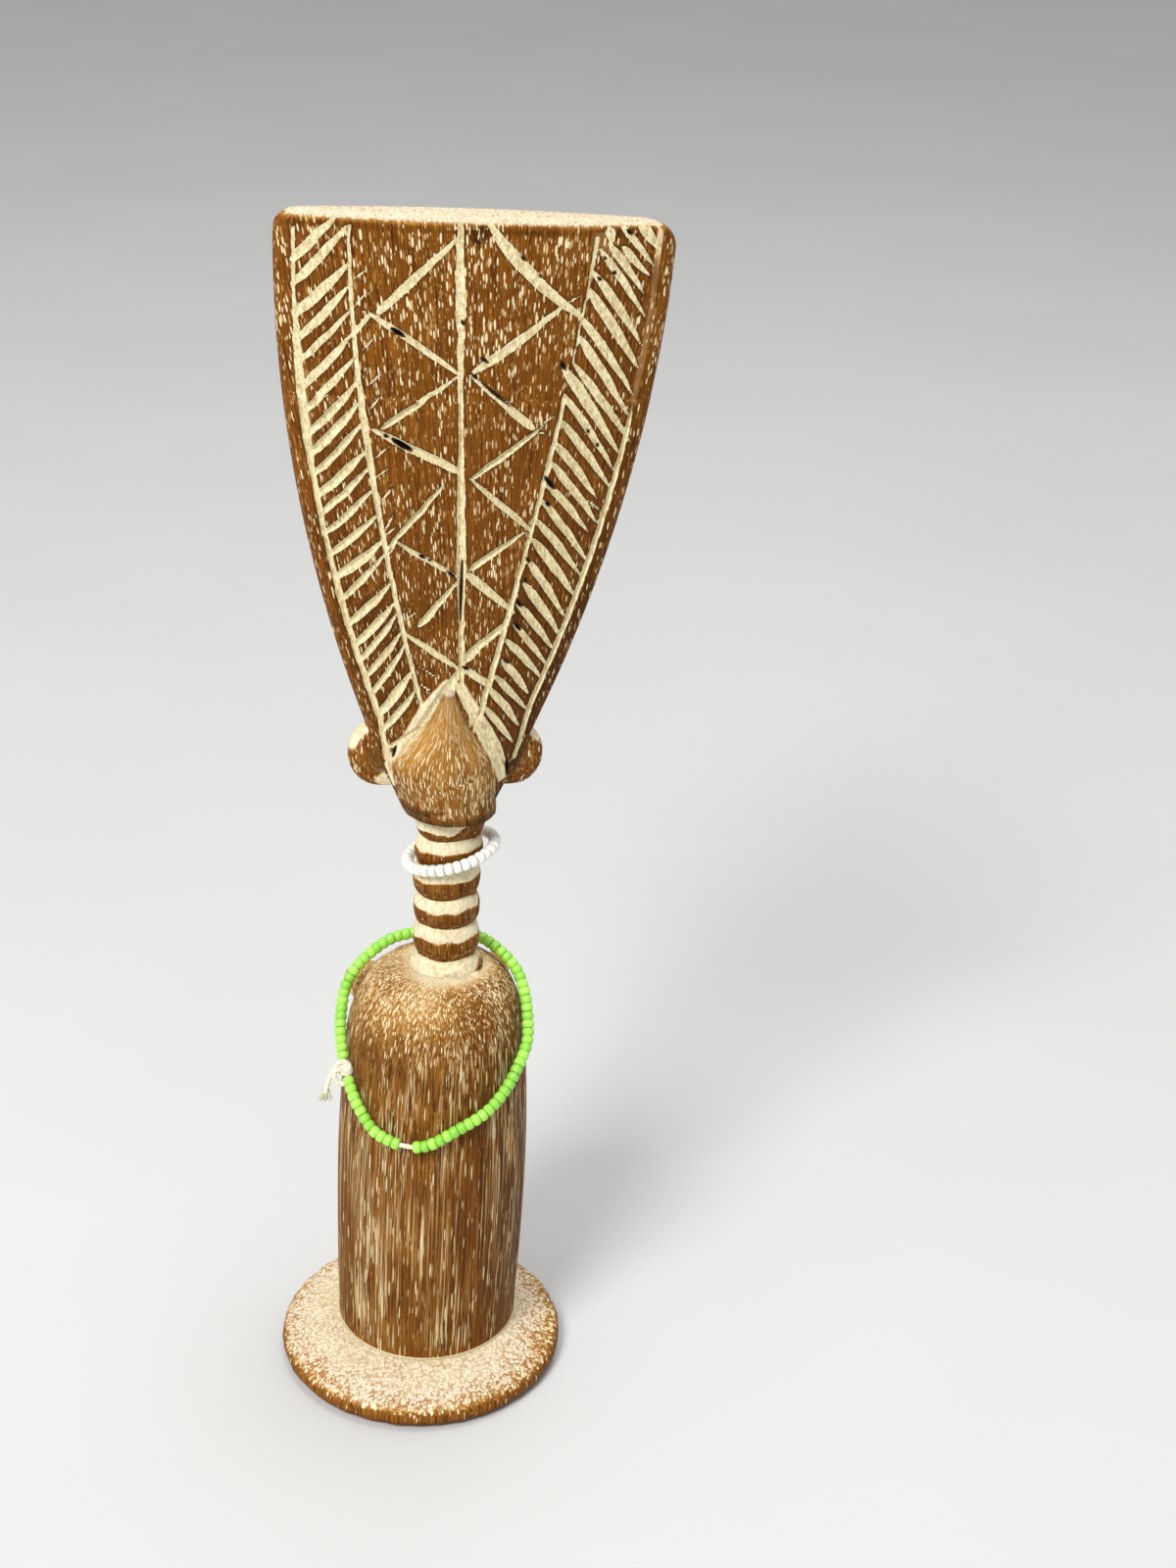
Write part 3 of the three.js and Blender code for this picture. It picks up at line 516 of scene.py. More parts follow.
# Plain face on the far side: arched brows running into a long nose, lidded eyes and a small mouth
BROW_LEVEL, BROW_HALF_WIDTH, BROW_RISE = 52, 10.4, 8.5
EYE_HALF_WIDTH, EYE_HALF_HEIGHT = 6.2, 2.5
across_face = np.linspace(-1, 1, FACE_COLUMNS)
s_front = spread((0.62 * across_face + 0.38 * across_face**3)[None] * FLAT_SHARE)


def hill(distance, half, tall):
    return tall * np.clip(1 - (distance / half) ** 2, 0, 1) ** 0.6


nose_half = np.interp(level, [30.2, 32, 36, 44, 54, 60], [3.2, 3.9, 3.3, 2.4, 2.0, 1.7])
nose_tall = np.interp(level, [29.9, 30.6, 32, 36, 44, 54, 61], [0, 3.6, 5.0, 4.6, 3.2, 2.0, 0])
face = hill(s_front, nose_half, 1) * nose_tall
face_cut = np.full(s_front.shape, NO_CUT)
for side in (-1, 1):
    brow_s = side * s_front - 11
    brow_t = level - BROW_LEVEL
    brow_angle = np.arctan2(brow_t / BROW_RISE, brow_s / BROW_HALF_WIDTH)
    brow_off = np.hypot(brow_s, brow_t * BROW_HALF_WIDTH / BROW_RISE) - BROW_HALF_WIDTH
    face = np.maximum(face, hill(brow_off, 1.6, 1.6) * band(brow_angle, 0.1, 0.5, 2.9, 3.14))
    eye_s = (side * s_front - 10.5) / EYE_HALF_WIDTH
    eye_t = (level - 47.5) / EYE_HALF_HEIGHT
    lid = 1 - eye_s**2 - eye_t**2
    face = np.maximum(face, 1.5 * np.clip(lid, 0, 1) ** 0.6)
    slit = 0.42 - np.abs(level - 47.3 + 0.5 * eye_s**2)
    face_cut = np.maximum(face_cut, np.where(np.abs(eye_s) < 0.86, slit, -1.0))
mouth_s = s_front + 0.4
for t_lip, tall in ((21.9, 2.6), (18.7, 2.5)):
    lip = 1 - (mouth_s / 4.8) ** 2 - ((level - t_lip) / 1.7) ** 2
    face = np.maximum(face, tall * np.clip(lip, 0, 1) ** 0.5)
face_cut = np.maximum(face_cut, np.where(np.abs(mouth_s) < 4.3, 0.4 - np.abs(level - 20.3), -1.0))
face = face - 0.6 * ramp(face_cut, -0.25, 0.3)
y_front = front_y(s_front, level) - inset[:, None] + face
bend_up, bend_across = (np.gradient(np.gradient(face, axis=way), axis=way) for way in (0, 1))
recess = np.clip(2.2 * bend_up + 1.2 * bend_across, 0, 0.6)


def edge(ends_s, reach, y0, y1):
    """Rounded edge of the panel, from the back face's last column to the front face's."""
    f = np.linspace(0, 1, EDGE_COLUMNS + 2)[None, 1:-1]
    s = ends_s * (1 - 3 * f + 3 * f**2) + reach * 1.0167 * 3 * f * (1 - f)
    y = y0 * (1 - f) ** 3 + 3 * f * (1 - f) ** 2 * -2.0 + 3 * f**2 * (1 - f) * 3.2 + y1 * f**3
    return s, y


right_s, right_y = edge(s_back[:, -1:], right, y_back[:, -1:], y_front[:, -1:])
left_s, left_y = edge(s_back[:, :1], -left, y_back[:, :1], y_front[:, :1])
all_s = np.concatenate([s_back, right_s, s_front[:, ::-1], left_s[:, ::-1]], 1)
all_y = np.concatenate([y_back, right_y, y_front[:, ::-1], left_y[:, ::-1]], 1)
rings = head_point(all_s, all_y, level)
below_top = 134 - level
fanned = (all_s - 0.06 * below_top) / (1 - 0.0036 * below_top)
head_grain = sheet(fanned, all_y, level)
back = slice(0, BACK_COLUMNS)
front = slice(BACK_COLUMNS + EDGE_COLUMNS, BACK_COLUMNS + EDGE_COLUMNS + FACE_COLUMNS)
cut, hole = np.full(all_s.shape, NO_CUT), np.full(all_s.shape, NO_CUT)
cut[:, back], cut[:, front] = carving.inside, face_cut[:, ::-1]
hole[:, back] = torn.inside
# The wood's shade: a light and a dark line along the top edge, darker towards the head's foot
patchy = waves(sheet(all_s, all_y, level), 17, 26)
stripe = band(level, 132.9, 133.3, 133.6, 133.9)
shade_line = band(level, 131.2, 132.3, 132.6, 133.0)
tone_and_shade = 0.55 * stripe - 0.35 * shade_line - 0.34 * (1 - ramp(level, 40, 84)) + 0.10 * patchy
tone_and_shade -= 0.45 * ramp(all_s - outline(level), -4.2, -2.6) * (1 - ramp(level, 84, 116))
tone_and_shade += 0.5 * ramp(level, 133.6, 134.0)
sooty = bell((s_back + 0.9) / 1.9, (level - 131.6) / 2.2) * ramp(s_back - centre_line(level), 0.6, 1.2)
tone_and_shade[:, back] -= 2.2 * sooty + 0.35 * bell((s_back - 12) / 9, (level - 132.5) / 1.6)
# Kaolin in the pores is sparser along the top edge and beside the herringbone cuts
chalk = 0.06 * patchy - 0.25 * (stripe + shade_line) + 0.08 * ramp(level, 84, 120)
chalk += 0.66 * ramp(level, 133.5, 133.95)
in_band = ramp(s_back, inner_right(level) - 0.5, inner_right(level) + 1.0)
in_band = np.maximum(in_band, 1 - ramp(s_back, inner_left(level) - 1.0, inner_left(level) + 0.5))
near_cut = in_band * ramp(carving.inside, -1.6, -0.7)
tone_and_shade[:, back] -= 0.28 * near_cut
chalk[:, back] -= np.where(s_back > 0, 0.20, 0.04) * near_cut
# It lies over the wood on the top face, along both borders, by the nape and in the face's hollows
wash = np.zeros(all_s.shape) + 0.54 * ramp(level, 133.5, 133.95)
half = outline(level)
haze_left = band(-s_back, half - 6.1, half - 4.6, half - 3.3, half - 2.3)
haze_right = band(s_back, half - 5.6, half - 4.9, half - 3.9, half - 3.2)
corner = band(s_back, 22, 25, 27.5, 29.5) * band(level, 124, 130, 132.4, 133.2)
wash[:, back] += 0.42 * haze_left * band(level, 76, 88, 104, 112)
wash[:, back] += (0.36 + 0.25 * ramp(level, 124, 130)) * haze_right * ramp(level, 92, 96)
wash[:, back] += 0.35 * corner + 1.05 * ramp(rubbed.inside, -0.4, 1.0)
wash[:, front] += 0.8 * recess[:, ::-1]
head_panel = Part(rings, chalk=chalk, wash=wash, tone_and_shade=tone_and_shade, cut=cut, hole=hole, grain=head_grain)

# The carved doll: nape, chin and ears
# Rounded cones swell out of the panel behind and in front and overhang the neck. An ear lobe
# stands out at each lower corner. The nape is lighter towards its point and painted darker as shade along its
# underside rim, and its rasp marks fan from its point.
# A cone's stations: drop below its point, distance from the panel's middle, radius, shift to the right
CONE = [(0, 6.5, 0.7, 0), (9, 5.2, 5.0, 0), (14, 2.6, 9.0, 0), (18.5, 0.4, 12.0, 0), (22.5, 0, 12.2, 0.1),
        (27.5, 0, 11.5, 0.9), (30.2, 0, 11.1, 1.5), (31.3, 0, 10.4, 1.7), (31.7, 0, 8.6, 1.7)]


def cone(facing, apex, centre, sides, steps):
    """Facing is -1 for the nape and 1 for the chin. Apex is the height of its point."""
    drop = np.concatenate([np.linspace(0, 30.6, steps), [31.0, 31.3, 31.5, 31.6, 31.7]])
    line = through(CONE, drop)
    angle = np.linspace(0, 2 * math.pi, sides, endpoint=False)
    t = (apex - drop)[:, None]
    combed = 0.010 * waves(sheet(angle * 12, drop[:, None] / 9), 2.6, 31) * ramp(drop, 2, 8)[:, None]
    r = line[:, 1, None] * (1 + combed)
    s = centre + line[:, 2, None] + r * np.cos(angle)
    y = facing * line[:, 0, None] + r * np.sin(angle)
    rings = head_point(s, y, t)
    fan = sheet(np.cos(angle) * 19, np.sin(angle) * 19, rings[..., 2] * 1.1)
    # Painted shade: the rim under the cone darkens and loses its flecks; the cone is lighter towards its
    # point
    rim_shade_and_pale_point = -1.15 * ramp(drop, 28.2, 30.6) + (0.20 + 0.52 * (1 - ramp(drop, 14, 27))) * ramp(drop, 0, 3)
    pale = 0.20 - 0.60 * ramp(drop, 28.0, 30.2)
    shoulder = np.abs(np.cos(angle)) ** 6 * band(drop, 6, 12, 16, 24)[:, None]
    # Kaolin wash on both sides of the cone, heavier on its left as a painted highlight, and a cap of it over
    # the point
    washed = (0.5 + 0.35 * (np.cos(angle) < 0)) * shoulder + 0.9 * (1 - ramp(drop, 0.6, 2.2))[:, None]
    tone_and_shade = rim_shade_and_pale_point[:, None] + 0.15 * waves(fan / 9, 1.5, 32)
    return Part(rings, grain=fan, tone_and_shade=tone_and_shade, chalk=pale[:, None] + 0.1 * shoulder, wash=washed, streak=0.4)


nape = cone(-1, 28.5, -1.8, 88, 54)
chin = cone(1, 26.5, -0.8, 64, 40)

ears = []
for centre_s, centre_t, size in ((-14.4, 9.4, 9.0), (13.8, 8.6, 8.8)):
    through_y = np.linspace(-1, 1, 26)
    angle = np.linspace(0, 2 * math.pi, 48, endpoint=False)
    scale = np.clip(1 - np.abs(through_y) ** 2.6, 0.0, 1) ** (1 / 2.4)
    scale = np.maximum(scale, 0.12)[:, None]
    s = centre_s + size * scale * np.cos(angle)
    t = centre_t + size * scale * np.sin(angle)
    t = 1.1 + np.logaddexp(0, (t - 1.1) * 2.2) / 2.2
    y = 1.9 + 3.8 * through_y[:, None]
    rings = head_point(s, y, t)
    rim = ramp(scale, 0.72, 0.96)
    # Kaolin wash with a painted highlight along the top of each rim and the left ear's upper left side, and a
    # patch of kaolin low on the left ear
    pale = 0.92 * ramp(np.sin(angle), 0.1, 0.75) * rim
    if centre_s < 0:
        highlit_side_rim = ramp(-np.cos(angle), 0.5, 0.95) * ramp(np.sin(angle), -0.1, 0.4) * rim
        patch = bell((s + 13.6) / 3.6, (t - 3.4) / 2.4) * (y < 2)
        pale = np.maximum(pale, 0.85 * highlit_side_rim) + 1.1 * patch
    pale = ramp(pale + 0.06 * waves(rings, 3.5, 33), 0.15, 0.7)
    ears.append(Part(rings, chalk=0.04, wash=pale, tone_and_shade=-0.2, streak=0.15))

# The carved doll joined and finished
# The forms are one block, so their surfaces are joined into a single closed skin. The wood is stained
# and oiled a reddish brown, with kaolin rubbed into its pores and into every cut and hollow.
forms = [foot_and_body, *breasts, neck, head_panel, nape, chin, *ears]
doll = foot_and_body.as_object("akuaba_doll_wood")
for form in forms[1:]:
    tool = form.as_object("form")
    join = doll.modifiers.new("join", "BOOLEAN")
    join.operation, join.solver, join.object = "UNION", "MANIFOLD", tool
    joined = bpy.data.meshes.new_from_object(doll.evaluated_get(bpy.context.evaluated_depsgraph_get()))
    doll.modifiers.clear()
    doll.data = joined
    bpy.data.objects.remove(tool)
mesh = doll.data
mesh.name = "akuaba_doll_wood"
# Each point of the joined skin takes its marks from the nearest point of the forms
flat = np.empty(len(mesh.vertices) * 3)
mesh.vertices.foreach_get("co", flat)
places = flat.reshape(-1, 3) / MM
known = np.concatenate([form.places for form in forms])
tree = KDTree(len(known))
for i, place in enumerate(known):
    tree.insert(place, i)
tree.balance()
nearest = np.array([tree.find(place)[1] for place in places])
for name in MARKS:
    values = np.concatenate([form.marks[name] for form in forms])[nearest]
    mesh.attributes.new(name, "FLOAT", "POINT").data.foreach_set("value", values)
grain = np.concatenate([form.marks["grain"] for form in forms])[nearest]
mesh.attributes.new("grain", "FLOAT_VECTOR", "POINT").data.foreach_set("vector", grain.ravel())
mesh.polygons.foreach_set("use_smooth", [True] * len(mesh.polygons))
mesh.set_sharp_from_angle(angle=math.radians(60))


class Wire:
    """A number, colour or vector that runs between shader nodes. Sums on it add their Math nodes."""

    def __init__(self, finish, socket):
        self.finish, self.socket = finish, socket

    def worked(self, operation, *values):
        return self.finish.node("ShaderNodeMath", {"operation": operation}, *values)

    def at_least(self, other):
        return self.worked("MAXIMUM", self, other)

    def __add__(self, other):
        return self.worked("ADD", self, other)

    def __sub__(self, other):
        return self.worked("SUBTRACT", self, other)

    def __rsub__(self, other):
        return self.worked("SUBTRACT", other, self)

    def __mul__(self, other):
        return self.worked("MULTIPLY", self, other)

    __radd__ = __add__
    __rmul__ = __mul__


class Finish:
    """One material, built node by node."""

    def __init__(self, name):
        self.material = bpy.data.materials.new(name)
        self.material.use_nodes = True
        self.tree = self.material.node_tree
        self.tree.nodes.clear()

    def node(self, kind, settings=None, *values, out=0, **named):
        """A new node. Its inputs are filled in order or by name, each with a wire or a plain value."""
        made = self.tree.nodes.new(kind)
        for key, value in (settings or {}).items():
            setattr(made, key, value)
        for key, value in [*enumerate(values), *named.items()]:
            socket = made.inputs[key if isinstance(key, int) else key.replace("_", " ")]
            if isinstance(value, Wire):
                self.tree.links.new(value.socket, socket)
            else:
                socket.default_value = value
        return Wire(self, made.outputs[out])

    def mark(self, name, out=2):
        """What was stored on the mesh under a name: out 2 for a number, 1 for a vector."""
        return self.node("ShaderNodeAttribute", {"attribute_name": name}, out=out)

    def between(self, value, low, high):
        """0 below low and 1 above high, smooth in between."""
        return self.node("ShaderNodeMapRange", {"interpolation_type": "SMOOTHSTEP"}, value, low, high)

    def noise(self, vector, scale, detail=2.0, roughness=0.5):
        return self.node("ShaderNodeTexNoise", None, vector, Scale=scale, Detail=detail,
                         Roughness=roughness)

    def stretched(self, vector, scale, shift=(0, 0, 0)):
        return self.node("ShaderNodeMapping", None, vector, shift, (0, 0, 0), scale)

    def colours(self, amount, first, second, blend="MIX"):
        made = self.tree.nodes.new("ShaderNodeMix")
        made.data_type, made.blend_type = "RGBA", blend
        for socket, value in zip((made.inputs[0], made.inputs[6], made.inputs[7]), (amount, first, second)):
            if isinstance(value, Wire):
                self.tree.links.new(value.socket, socket)
            else:
                socket.default_value = value
        return Wire(self, made.outputs[2])

    def bump(self, height, strength=1.0):
        """Surface relief from a height in millimetres."""
        return self.node("ShaderNodeBump", None, Strength=strength, Distance=MM, Height=height)

    def close(self, **named):
        """Ends the material with its surface shader."""
        shader = self.node("ShaderNodeBsdfPrincipled", None, **named)
        surface = self.tree.nodes.new("ShaderNodeOutputMaterial").inputs["Surface"]
        self.tree.links.new(shader.socket, surface)
        return self.material


wood = Finish("oiled_wood_with_kaolin")
grain = wood.mark("grain", out=1)
chalk, wash, tone_and_shade, cut, hole, streak = (wood.mark(name) for name in MARKS)
grit = wood.noise(grain, 2.6, 3.0, 0.65)
mottle = wood.noise(wood.stretched(grain, (1.1, 1.1, 0.55)), 1.0, 3.0, 0.6)
patches = wood.noise(wood.stretched(grain, (0.13, 0.13, 0.05)), 1.0, 2.0)


def dashes(width, length, least, most, shift):
    """Pores of the wood as dashes along the grain: their distance, and two random values for each."""
    place = wood.stretched(grain, (1 / width, 1 / width, 1 / length), (shift, shift, shift))
    cells = {"feature": "F1", "distance": "EUCLIDEAN"}
    apart = wood.node("ShaderNodeTexVoronoi", cells, place, Scale=1.0, Randomness=0.95)
    chance = wood.node("ShaderNodeTexVoronoi", cells, place, out=1, Scale=1.0, Randomness=0.95)
    size = wood.node("ShaderNodeSeparateXYZ", None, chance)
    bright = wood.node("ShaderNodeSeparateXYZ", None, chance, out=1)
    return apart, least + (most - least) * size, bright


# Pores filled with kaolin: short dashes up the block, round dots where its end grain shows
apart, size, bright = dashes(0.51, 2.4, 0.03, 0.53, 0.0)
cover = size - apart + chalk * 0.66 + (grit - 0.5) * 0.16 + (patches - 0.5) * 0.22
pale = wood.between(cover, -0.02, 0.11) * (0.42 + 0.58 * wood.between(bright + chalk, 0.1, 0.7))
fine_apart, fine_size, fine_bright = dashes(0.33, 1.3, 0.02, 0.44, 7.3)
fine = wood.between(fine_size - fine_apart + chalk * 0.5, -0.02, 0.16) * (0.08 + 0.38 * fine_bright)
long_noise = wood.noise(wood.stretched(grain, (2.1, 2.1, 0.05)), 1.0, 3.0, 0.6)
streaks = wood.between(long_noise, 0.505, 0.60) * streak * wood.between(patches, 0.3, 0.6)
pale = pale.at_least(fine).at_least(streaks * 0.88)
# Cuts end along the grain in small splinters and keep specks, and painted shade darkens a thin line of wood
# along their edges
splinters = wood.noise(wood.stretched(grain, (2.4, 2.4, 0.8)), 1.0, 2.0, 0.6)
edge = cut + (splinters - 0.5) * 0.34
in_cut = wood.between(edge, -0.03, 0.10)
shaded_rim = wood.between(edge, -0.55, -0.08) * (1 - in_cut)
speck = wood.noise(wood.stretched(grain, (1.0, 1.0, 0.7)), 3.6, 2.0, 0.6)
in_cut = in_cut * (1 - 0.5 * wood.between(speck, 0.57, 0.70))
# Brown of the oiled wood, with darker and lighter lines along the grain
DARK_BROWN = (0.068, 0.016, 0.0005, 1)
RED_BROWN = (0.300, 0.104, 0.010, 1)
EVEN_BROWN = (0.190, 0.064, 0.004, 1)
DARK_TAN = (0.290, 0.110, 0.010, 1)
LIGHT_TAN = (0.640, 0.320, 0.075, 1)
FURROW_BROWN = (0.055, 0.018, 0.002, 1)
DARK_WOOD_AND_SHADE_BROWN = (0.046, 0.013, 0.001, 1)
RIM_SHADE_BROWN = (0.045, 0.017, 0.004, 1)
lines = wood.noise(wood.stretched(grain, (3.0, 3.0, 0.10)), 1.0, 4.0, 0.66)
broad = wood.noise(wood.stretched(grain, (0.30, 0.30, 0.035), (3, 5, 1)), 1.0, 3.0)
brown = wood.colours(wood.between(lines, 0.36, 0.66), DARK_BROWN, RED_BROWN)
brown = wood.colours(wood.between(broad, 0.35, 0.70) * 0.5, brown, EVEN_BROWN)
tan = wood.colours(wood.between(lines, 0.32, 0.68), DARK_TAN, LIGHT_TAN)
brown = wood.colours(wood.between(tone_and_shade, 0.0, 1.0), brown, tan)
furrows = wood.noise(wood.stretched(grain, (1.9, 1.9, 0.035), (9, 2, 4)), 1.0, 3.0, 0.6)
brown = wood.colours(wood.between(furrows, 0.49, 0.60) * streak * 0.8, brown, FURROW_BROWN)
# Low tone darkens towards a deep brown: darker wood, and painted shade on the foot's side, the body's right,
# the neck rings' undersides and the cones' rims
brown = wood.colours(wood.between(tone_and_shade * -1.0, 0.0, 1.15) * 0.88, brown, DARK_WOOD_AND_SHADE_BROWN)
# Painted shade: a thin dark line on the wood just outside each cut
brown = wood.colours(shaded_rim * 0.6, brown, RIM_SHADE_BROWN)
# Kaolin: cream in the cuts, paler flecks in the pores, a chalky wash on the hollows and the foot
CREAM_DARK, CREAM, CREAM_DIRT = (0.58, 0.44, 0.21, 1), (0.93, 0.84, 0.54, 1), (0.36, 0.25, 0.09, 1)
FLECK_DARK, FLECK, FLECK_EDGE = (0.68, 0.43, 0.16, 1), (0.96, 0.83, 0.51, 1), (0.60, 0.31, 0.075, 1)
FLECK_WHITE, CHALK_DARK, CHALK = (0.87, 0.80, 0.66, 1), (0.70, 0.55, 0.30, 1), (0.90, 0.82, 0.58, 1)
WASHED_TAN, NETWORK_TAN = (0.62, 0.35, 0.13, 1), (0.46, 0.28, 0.13, 1)
PIT_SHADE_BROWN, PIT_SHADOW_BLACK = (0.060, 0.022, 0.005, 1), (0.006, 0.003, 0.001, 1)
worked = mottle * 0.6 + speck * 0.4
cream = wood.colours(wood.between(worked, 0.36, 0.60), CREAM_DARK, CREAM)
dirt = wood.noise(wood.stretched(grain, (1.0, 1.0, 0.6), (4, 8, 2)), 2.1, 2.0)
cream = wood.colours(wood.between(dirt, 0.56, 0.68) * 0.6, cream, CREAM_DIRT)
fleck = wood.colours(wood.between(bright, 0.1, 0.9), FLECK_DARK, FLECK)
fleck = wood.colours(wood.between(pale, 0.15, 0.75), FLECK_EDGE, fleck)
fleck = wood.colours(wood.between(chalk, 0.3, 0.6) * 0.8, fleck, FLECK_WHITE)
# Where the chalk is thickest, on the foot, a net of tan wood shows between the pores
network = wood.between(apart, 0.38, 0.66) * wood.between(chalk, 0.3, 0.6)
bare = 1 - 0.45 * wood.between(1 - lines, 0.42, 0.62) * (1 - wash)
washed = wood.between(wash * (0.66 + 0.72 * mottle), 0.0, 0.95) * bare
# From the wood outwards: brown, flecks, wash, net, cuts, and the painted shade inside the torn pits
colour = wood.colours(wood.between(washed, 0.0, 0.7) * 0.9, brown, WASHED_TAN)
colour = wood.colours(pale * 0.92, colour, fleck)
chalky = wood.colours(wood.between(worked, 0.36, 0.56), CHALK_DARK, CHALK)
colour = wood.colours(wood.between(washed, 0.42, 0.95) * 0.94, colour, chalky)
colour = wood.colours(network * 0.42, colour, NETWORK_TAN)
colour = wood.colours(in_cut, colour, cream)
# Painted shade: each torn pit darkens to brown at its rim and to near black inside
colour = wood.colours(wood.between(hole, -0.30, -0.04), colour, PIT_SHADE_BROWN)
colour = wood.colours(wood.between(hole, -0.06, 0.14), colour, PIT_SHADOW_BLACK)
height = (grit - 0.5) * 0.09 + (lines - 0.5) * 0.12 + pale * -0.04 + streak * (long_noise - 0.5) * 0.55
height = height + wood.between(chalk, 0.2, 0.6) * (0.5 - apart) * 0.22 + shaded_rim * 0.03
powdered = washed.at_least(in_cut)
oiled = wood.close(
    Base_Color=colour,
    Roughness=0.48 + 0.24 * pale + 0.30 * powdered,
    Specular_IOR_Level=0.08,
    Normal=wood.bump(height, 0.9),
)
mesh.materials.clear()
mesh.materials.append(oiled)
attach(doll, "root")
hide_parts("carved_doll")

# Green bead string
# Opaque lime green glass seed beads on one length of undyed cotton thread. It hangs round the
# shoulders, and its two ends are knotted at the left with a small loop and a frayed tail.
BEAD_RADIUS = 1.5
BEAD_WALL = 0.5
BEAD_PITCH = 2.0
BEAD_GAP = 0.9
THREAD = 1.2
THREAD_STEP = 0.55
FIBRE_STEPS = 4
FIBRE_RADIUS = 0.20


def smooth_line(points, per=10):
    """Even points on a smooth curve through the given ones."""
    points = np.array(points, float)
    ends = np.concatenate([[2 * points[0] - points[1]], points, [2 * points[-1] - points[-2]]])
    line = []
    for i in range(1, len(ends) - 2):
        p0, p1, p2, p3 = ends[i - 1:i + 3]
        d0, d1, d2 = (max(1e-6, np.linalg.norm(b - a)) ** 0.5 for a, b in ((p0, p1), (p1, p2), (p2, p3)))
        m1 = ((p1 - p0) / d0 - (p2 - p0) / (d0 + d1) + (p2 - p1) / d1) * d1
        m2 = ((p2 - p1) / d1 - (p3 - p1) / (d1 + d2) + (p3 - p2) / d2) * d1
        f = np.linspace(0, 1, per, endpoint=False)[:, None]
        line.append(eased(f, p1, p2, m1, m2))
    return np.concatenate(line + [points[-1:]])


def distances(line):
    """How far along the line each of its points is."""
    return np.concatenate([[0], np.cumsum(np.linalg.norm(np.diff(line, axis=0), axis=1))])


def even(line, step):
    """The same line as points a fixed distance apart."""
    run = distances(line)
    stops = np.linspace(0, run[-1], max(2, round(run[-1] / step) + 1))
    return np.stack([np.interp(stops, run, line[:, i]) for i in range(3)], 1)


def piece_of(line, start, end):
    """The stretch of a line between two distances from its start."""
    run = distances(line)
    stops = np.concatenate([[start], run[(run > start) & (run < end)], [end]])
    return np.stack([np.interp(stops, run, line[:, i]) for i in range(3)], 1)


def length_of(line):
    return float(np.linalg.norm(np.diff(line, axis=0), axis=1).sum())


def bead_finish(name, dull, bright):
    """Opaque glass, each bead a little duller or brighter than the next."""
    glass = Finish(name)
    place = glass.node("ShaderNodeTexCoord", None, out=3)
    shade = glass.mark("shade")
    cloud = glass.noise(place, 900.0, 2.0)
    colour = glass.colours(glass.between(shade + (cloud - 0.5) * 0.5, 0.1, 0.9), dull, bright)
    relief = glass.bump(0.03 * glass.noise(place, 1500.0, 2.0), 0.6)
    return glass.close(Base_Color=colour, Roughness=0.30 + 0.12 * cloud, Coat_Weight=0.35,
                       Coat_Roughness=0.12, Normal=relief)


